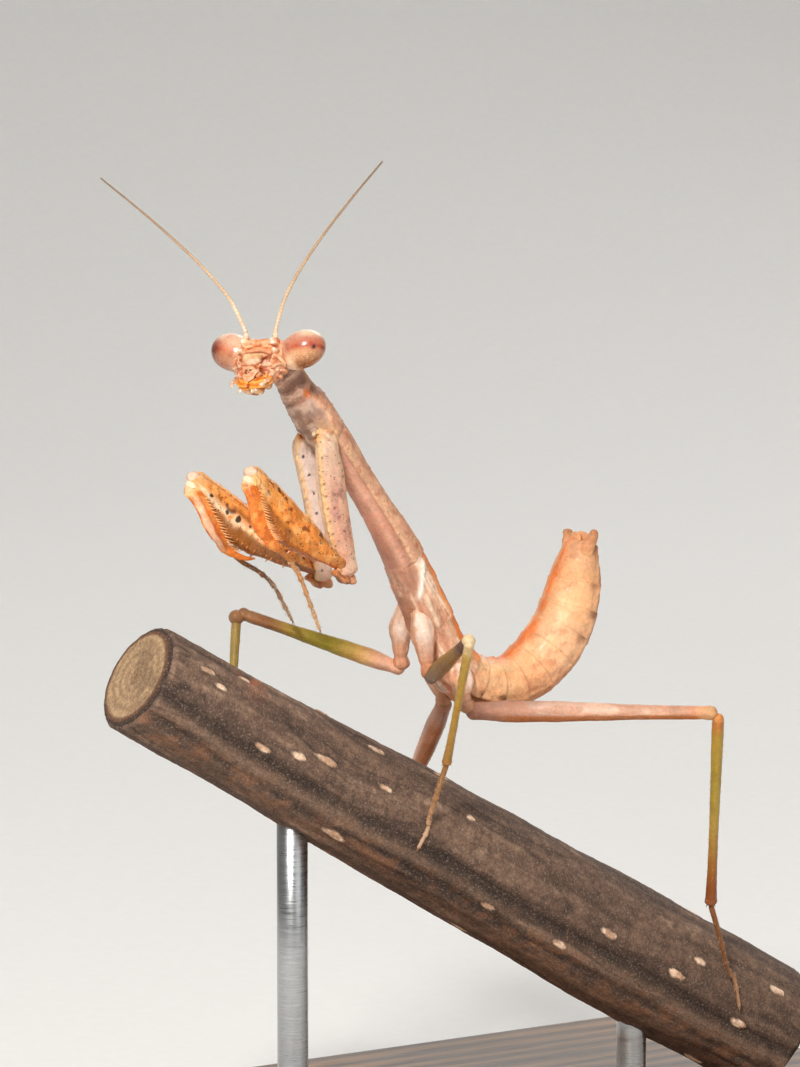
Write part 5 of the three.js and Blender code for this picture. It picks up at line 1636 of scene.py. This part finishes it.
def bark_fields(g):
    """Lenticels, long grooves, flakes and crumbs of the bark."""
    along = g.s - perch_length / 2
    spots, rims = 0.0, 0.0
    for place, around, size in LENTICELS:
        da = np.angle(np.exp(1j * (g.a - math.radians(around)))) * BARK_ROUND
        r = np.hypot((along - place) / (size * 0.52), da / (size * 0.07 + 0.12))
        r = r * (1 + 0.3 * noise(g.p * 2.6, 401))
        spots = np.maximum(spots, fall(r, 0.75, 1.05))
        rims = np.maximum(rims, hump(r, 1.2, 0.22))
    round_it = np.stack([g.a * BARK_ROUND, along, 0 * along], axis=-1)
    round_it[..., 0] += 0.8 * noise(round_it * 0.16, 403)
    grain = rough(round_it * (1.5, 0.16, 1), 4, 405)
    cracks = fall(np.abs(noise(round_it * (0.85, 0.09, 1), 409)), 0.02, 0.12)
    groove = g.a - 1.78 - 0.12 * noise_along(g.s * 0.12, 421)
    return spots, rims, grain, cracks, rough(g.p * 1.4, 4, 411), rough(g.p * 3.4, 2, 419), groove


def bark_relief(g):
    spots, rims, grain, cracks, flakes, crumbs, groove = bark_fields(g)
    out = 0.12 * noise_along(g.s * 0.09, 413) + 0.08 * noise(g.p * 0.22, 415)
    out += 0.05 * grain + 0.02 * flakes + 0.015 * crumbs - 0.04 * cracks + 0.14 * hump(g.a, 2.35, 0.16)
    out += 0.08 * hump(groove, 0.24, 0.12) - 0.17 * hump(groove, 0, 0.1) - 0.08 * hump(groove, 0.42, 0.06)
    return out * (1 - 0.5 * spots) + 0.07 * spots - 0.03 * rims


def bark_tint(g):
    spots, rims, grain, cracks, flakes, crumbs, groove = bark_fields(g)
    dark = hump(groove, 0, 0.11) + 0.6 * hump(groove, 0.42, 0.09) + 0.35 * hump(groove, 0.2, 0.3)
    red = hump(g.s - perch_length / 2, -21.6, 1.1) * hump(g.a, 0.42, 0.35) * rise(flakes, -0.2, 0.5)
    return lay(
        ramp(0.5 * grain + 0.25 * flakes + 0.35 * crumbs,
             "-0.9 453630, -0.3 5c4a41, 0.1 6e594d, 0.5 836c5e, 0.9 a08a7b"),
        # painted shade: dark along the long groove and the furrow below it
        ("261e1b", 0.75 * np.clip(dark, 0, 1)),
        # paler along the ridge beside the groove, partly painted highlight
        ("9a8374", 0.35 * hump(groove, 0.22, 0.07)),
        # reddish brown along the lower ridge, partly painted highlight
        ("8f6245", 0.5 * hump(g.a, 2.35, 0.3) * rise(flakes, -0.3, 0.5)),
        ("b1663c", 0.75 * red),
        ("241b18", 0.45 * cracks),
        ("2d2320", 0.4 * rims),
        (mix("d0ae96", "ffe6d2", rise(flakes, -0.5, 0.3)), 0.95 * spots),
    )


def cut_end(centre, axis, radius, mass, seed):
    """A sawn end: a shallow dished disc with growth rings, pith and a bark rim."""
    helper = unit(np.cross(axis, LEFTWARD))
    other = np.cross(axis, helper)
    v = np.linspace(0, 2 * math.pi, 120, endpoint=False)
    r = np.linspace(1.0, 0.02, 60)[:, None] + 0 * v
    flat = np.stack([r * np.cos(v), r * np.sin(v), 0 * r], axis=-1)
    wobble = 0.04 * noise(flat * 2, seed)
    height = 0.05 + 0.006 * np.sin(r ** 0.8 * 30) + 0.03 * rough(flat * 9, 2, seed + 1) - 0.1 * (r > 0.96)
    out = radius * (r + wobble * 0.3 * r)
    grid = centre + helper * (out * np.cos(v))[..., None] + other * (out * np.sin(v))[..., None]
    grid = grid + axis * height[..., None]
    made = shell(np.concatenate([grid[:1] - axis * 0.3, grid]), centre - axis * 0.4, centre + axis * 0.05)
    rings = np.sin(r ** 0.8 * 30 + 3 * noise(flat * 1.5, seed + 2))
    rays = noise(np.stack([v * 12 + 0 * r, r * 1.5, 0 * r], axis=-1), seed + 3)
    colour = lay(
        mix("a1876a", "bda384", rise(rings + 0.9 * rays, -1.2, 1.4)),
        ("7d6650", 0.6 * rise(rough(flat * 2.2, 3, seed + 4), 0.0, 0.7)),
        ("6b4a33", rise(r, 0.84, 0.9)),
        ("3c2e28", rise(r, 0.93, 0.97)),
        ("8c6844", fall(r, 0.04, 0.09)),
    )
    mass.add(made, np.concatenate([colour[:1], colour]))


perch = Mass()
steps = np.linspace(0, perch_length, 9)[:, None]
bark_rows = np.hstack([perch_start + perch_axis * steps, perch_radius(steps), perch_radius(steps)])
perch.put(loft(bark_rows, UP, 260, 0.14, (0.09, 0.09), wide=LEFTWARD, relief=bark_relief), bark_tint)
for place, facing, seed in ((0.02, -1, 431), (perch_length - 0.02, 1, 441)):
    radius = float(perch_radius(0.0 if facing < 0 else perch_length)) * 0.93
    cut_end(perch_start + perch_axis * place, perch_axis * facing, radius, perch, seed)


def bark_material():
    make = Finish("bark")
    long_way = make.in_mm((1, 0.16, 1), (math.atan2(-perch_axis[2], perch_axis[1]), 0, 0))
    even = make.in_mm()
    grain = make.cloud(long_way, 3.6, 5, 0.65)
    crumbs = make.cloud(even, 6.0, 4, 0.7)
    shade = make.times(make.spread(grain, 0.3, 0.7, 0.78, 1.2), make.spread(crumbs, 0.3, 0.7, 0.62, 1.4))
    dust = make.spread(make.cloud(even, 6.5, 5, 0.8), 0.54, 0.66)
    gaps = make.spread(make.cloud(even, 5.5, 5, 0.8), 0.43, 0.34)
    base = make.blend(make.times(dust, 0.55), make.tinted(shade, 0.9, 0.78), "bda390")
    base = make.blend(make.times(gaps, 0.6), base, "2b211c")
    height = make.calc("ADD", grain, make.times(crumbs, 0.6))
    return make.done(base, make.spread(grain, 0.3, 0.7, 0.72, 0.92), height, 0.9, 0.00014)


perch.build("perch_bark", bark_material(), "bark", ["perch"])

# ---------------------------------------------------------------- stand

CORNER, SOFT = 7.0, 0.6  # radii of the base's corners and of its edges
INNER_RING = 12.0  # how far inside its edge the base's flat faces are ringed
ROD = 1.0  # radius of a rod above its collar


def slab():
    """The base: a flat board with rounded corners and softened edges."""
    low, high = box_mm("stand_base")
    half, middle = (high - low) / 2, (high + low) / 2
    outline = []
    for quarter, (sx, sy) in enumerate(((1, 1), (-1, 1), (-1, -1), (1, -1))):
        for angle in np.linspace(quarter * math.pi / 2, (quarter + 1) * math.pi / 2, 14):
            outline.append((sx, sy, math.cos(angle), math.sin(angle)))
    outline = np.array(outline)
    bend = [(SOFT * (1 - math.sin(q)), SOFT * (1 - math.cos(q))) for q in np.linspace(0, math.pi / 2, 7)]
    profile = [(inset, low[2] + lift) for inset, lift in bend]
    profile += [(inset, high[2] - lift) for inset, lift in reversed(bend)]
    rings = []
    for inset, level in [(INNER_RING, low[2]), *profile, (INNER_RING, high[2])]:
        reach, keep = max(CORNER - inset, 0.05), min(inset, CORNER - 0.05)
        flat = half[:2] - keep - reach - max(inset - keep, 0)
        xy = outline[:, :2] * flat + outline[:, 2:] * reach + middle[:2]
        rings.append(np.column_stack([xy, np.full(len(xy), level)]))
    mass = Mass()
    mass.add(shell(np.array(rings), (0, 0, low[2]), (0, 0, high[2])), "8a6a4a")
    return mass


def wood_material():
    make = Finish("walnut")
    place = make.in_mm((1, 0.12, 0.5))
    warp = make.cloud(place, 0.22, 2, 0.5)
    moved = make.add("VectorMath", {0: place, 1: warp}, operation="ADD")[0]
    bands = make.add("TexWave", {
        "Vector": moved, "Scale": 0.16, "Distortion": 5.0,
        "Detail": 3.0, "Detail Scale": 1.4, "Detail Roughness": 0.6,
    }, bands_direction="X")["Fac"]
    pores = make.cloud(make.in_mm((1, 0.05, 1)), 4.5, 3, 0.6)
    base = make.blend(make.spread(bands, 0.1, 0.95), "5e3f28", "9a7048")
    base = make.blend(make.spread(pores, 0.56, 0.72, 0, 0.7), base, "3c2717")
    return make.done(base, make.spread(pores, 0.3, 0.7, 0.36, 0.52), pores, 0.35, 0.00008,
                     coat_weight=0.25, coat_roughness=0.2)


def post(name):
    """A polished rod with a turned collar where it meets the base."""
    low, high = box_mm(f"stand_rod_{name}")
    x, y = (low[:2] + high[:2]) / 2
    collar, floor = (high[0] - low[0]) / 2, box_mm("stand_base")[1, 2]
    profile = [
        (ROD, low[2]), (ROD, floor - 0.05), (collar - 0.12, floor + 0.02), (collar, floor + 0.14),
        (collar, floor + 0.86), (collar - 0.06, floor + 1.02), (collar - 0.18, floor + 1.12),
        (collar - 0.4, floor + 1.18), (ROD + 0.16, floor + 1.24), (ROD + 0.05, floor + 1.32),
        (ROD, floor + 1.45), (ROD, (floor + high[2]) / 2), (ROD, high[2]),
    ]
    v = np.linspace(0, 2 * math.pi, 64, endpoint=False)
    grid = np.array([np.column_stack([x + r * np.cos(v), y + r * np.sin(v), 0 * v + z]) for r, z in profile])
    mass = Mass()
    mass.add(shell(grid, (x, y, low[2]), (x, y, high[2])), "b8b8b8")
    return mass


def steel_material():
    make = Finish("brushed_steel")
    marks = make.cloud(make.in_mm((0.4, 0.4, 9)), 1.6, 3, 0.6)
    base = make.blend(make.spread(marks, 0.3, 0.7), "a9abad", "cdcfd0")
    return make.done(base, make.spread(marks, 0.3, 0.7, 0.24, 0.4), marks, 0.2, 0.00003, metallic=1.0)


slab().build("stand_slab", wood_material(), "stand_wood", ["stand_base"])
steel = steel_material()
for name in ("front", "rear"):
    post(name).build(f"stand_post_{name}", steel, "stand_steel", [f"stand_rod_{name}"])

# ---------------------------------------------------------------- floor and light

# in metres: ends of the level floor, radius of its bend, top of the backdrop and half its width
FLOOR_NEAR, FLOOR_FAR, FLOOR_BEND, WALL_TOP, FLOOR_HALF = -1.6, 0.35, 0.4, 1.8, 1.8
FLOOR_DROP = 0.0001  # how far the floor lies below the base


def make_stage():
    """A pale floor that curves up into a backdrop behind the object."""
    make = Finish("studio_paper")
    fibre = make.cloud(make.add("TexCoord")["Object"], 900.0, 3, 0.5)
    base = make.blend(make.spread(fibre, 0.3, 0.7), (0.90, 0.89, 0.87, 1), (0.92, 0.91, 0.89, 1))
    make.fill(make.shader.inputs["Base Color"], base)
    make.fill(make.shader.inputs["Roughness"], 0.9)
    azimuth = math.radians(AZIMUTH)
    away = np.array([-math.sin(azimuth), math.cos(azimuth), 0])
    right = np.array([math.cos(azimuth), math.sin(azimuth), 0])
    profile = [(FLOOR_NEAR, 0), (FLOOR_FAR, 0)]
    for q in np.linspace(0.1, math.pi / 2, 14):
        profile.append((FLOOR_FAR + FLOOR_BEND * math.sin(q), FLOOR_BEND * (1 - math.cos(q))))
    profile.append((FLOOR_FAR + FLOOR_BEND, WALL_TOP))
    sides = (-FLOOR_HALF, FLOOR_HALF)
    points = [away * d + right * w + UP * (h - FLOOR_DROP) for d, h in profile for w in sides]
    faces = [(2 * k, 2 * k + 1, 2 * k + 3, 2 * k + 2) for k in range(len(profile) - 1)]
    mesh = bpy.data.meshes.new("studio_floor")
    mesh.from_pydata([tuple(p) for p in points], [], faces)
    mesh.polygons.foreach_set("use_smooth", [True] * len(mesh.polygons))
    mesh.materials.append(make.material)
    new_object("studio_floor", mesh)


LAMPS = {  # azimuth, elevation, distance, size, power, colour, and -1 where it faces away
    "key": (44, 36, 0.45, 0.08, 1.95, (1, 0.97, 0.93), 1),
    "fill": (105, 22, 0.55, 0.40, 0.4, (1, 1, 1), 1),
    "top": (0, 70, 0.55, 0.50, 0.3, (1, 1, 1), 1),
    "rim": (-140, 35, 0.5, 0.25, 0.35, (1, 1, 1), 1),
    "backdrop": (-120, 58, 0.35, 0.50, 6.0, (1, 1, 1), -1),
}
make_stage()
for name, (azimuth, elevation, distance, size, power, warmth, facing) in LAMPS.items():
    disc = bpy.data.lights.new(name, "AREA")
    disc.shape, disc.size, disc.energy, disc.color = "DISK", size, power, warmth
    new_object(name, disc, outward(azimuth, elevation), distance, facing)
world = bpy.data.worlds.new("studio")
world.use_nodes = True
background = world.node_tree.nodes["Background"].inputs
background["Color"].default_value, background["Strength"].default_value = (1.0, 0.99, 0.97, 1), 0.2
bpy.context.scene.world = world
bpy.context.scene.view_settings.view_transform = "Standard"
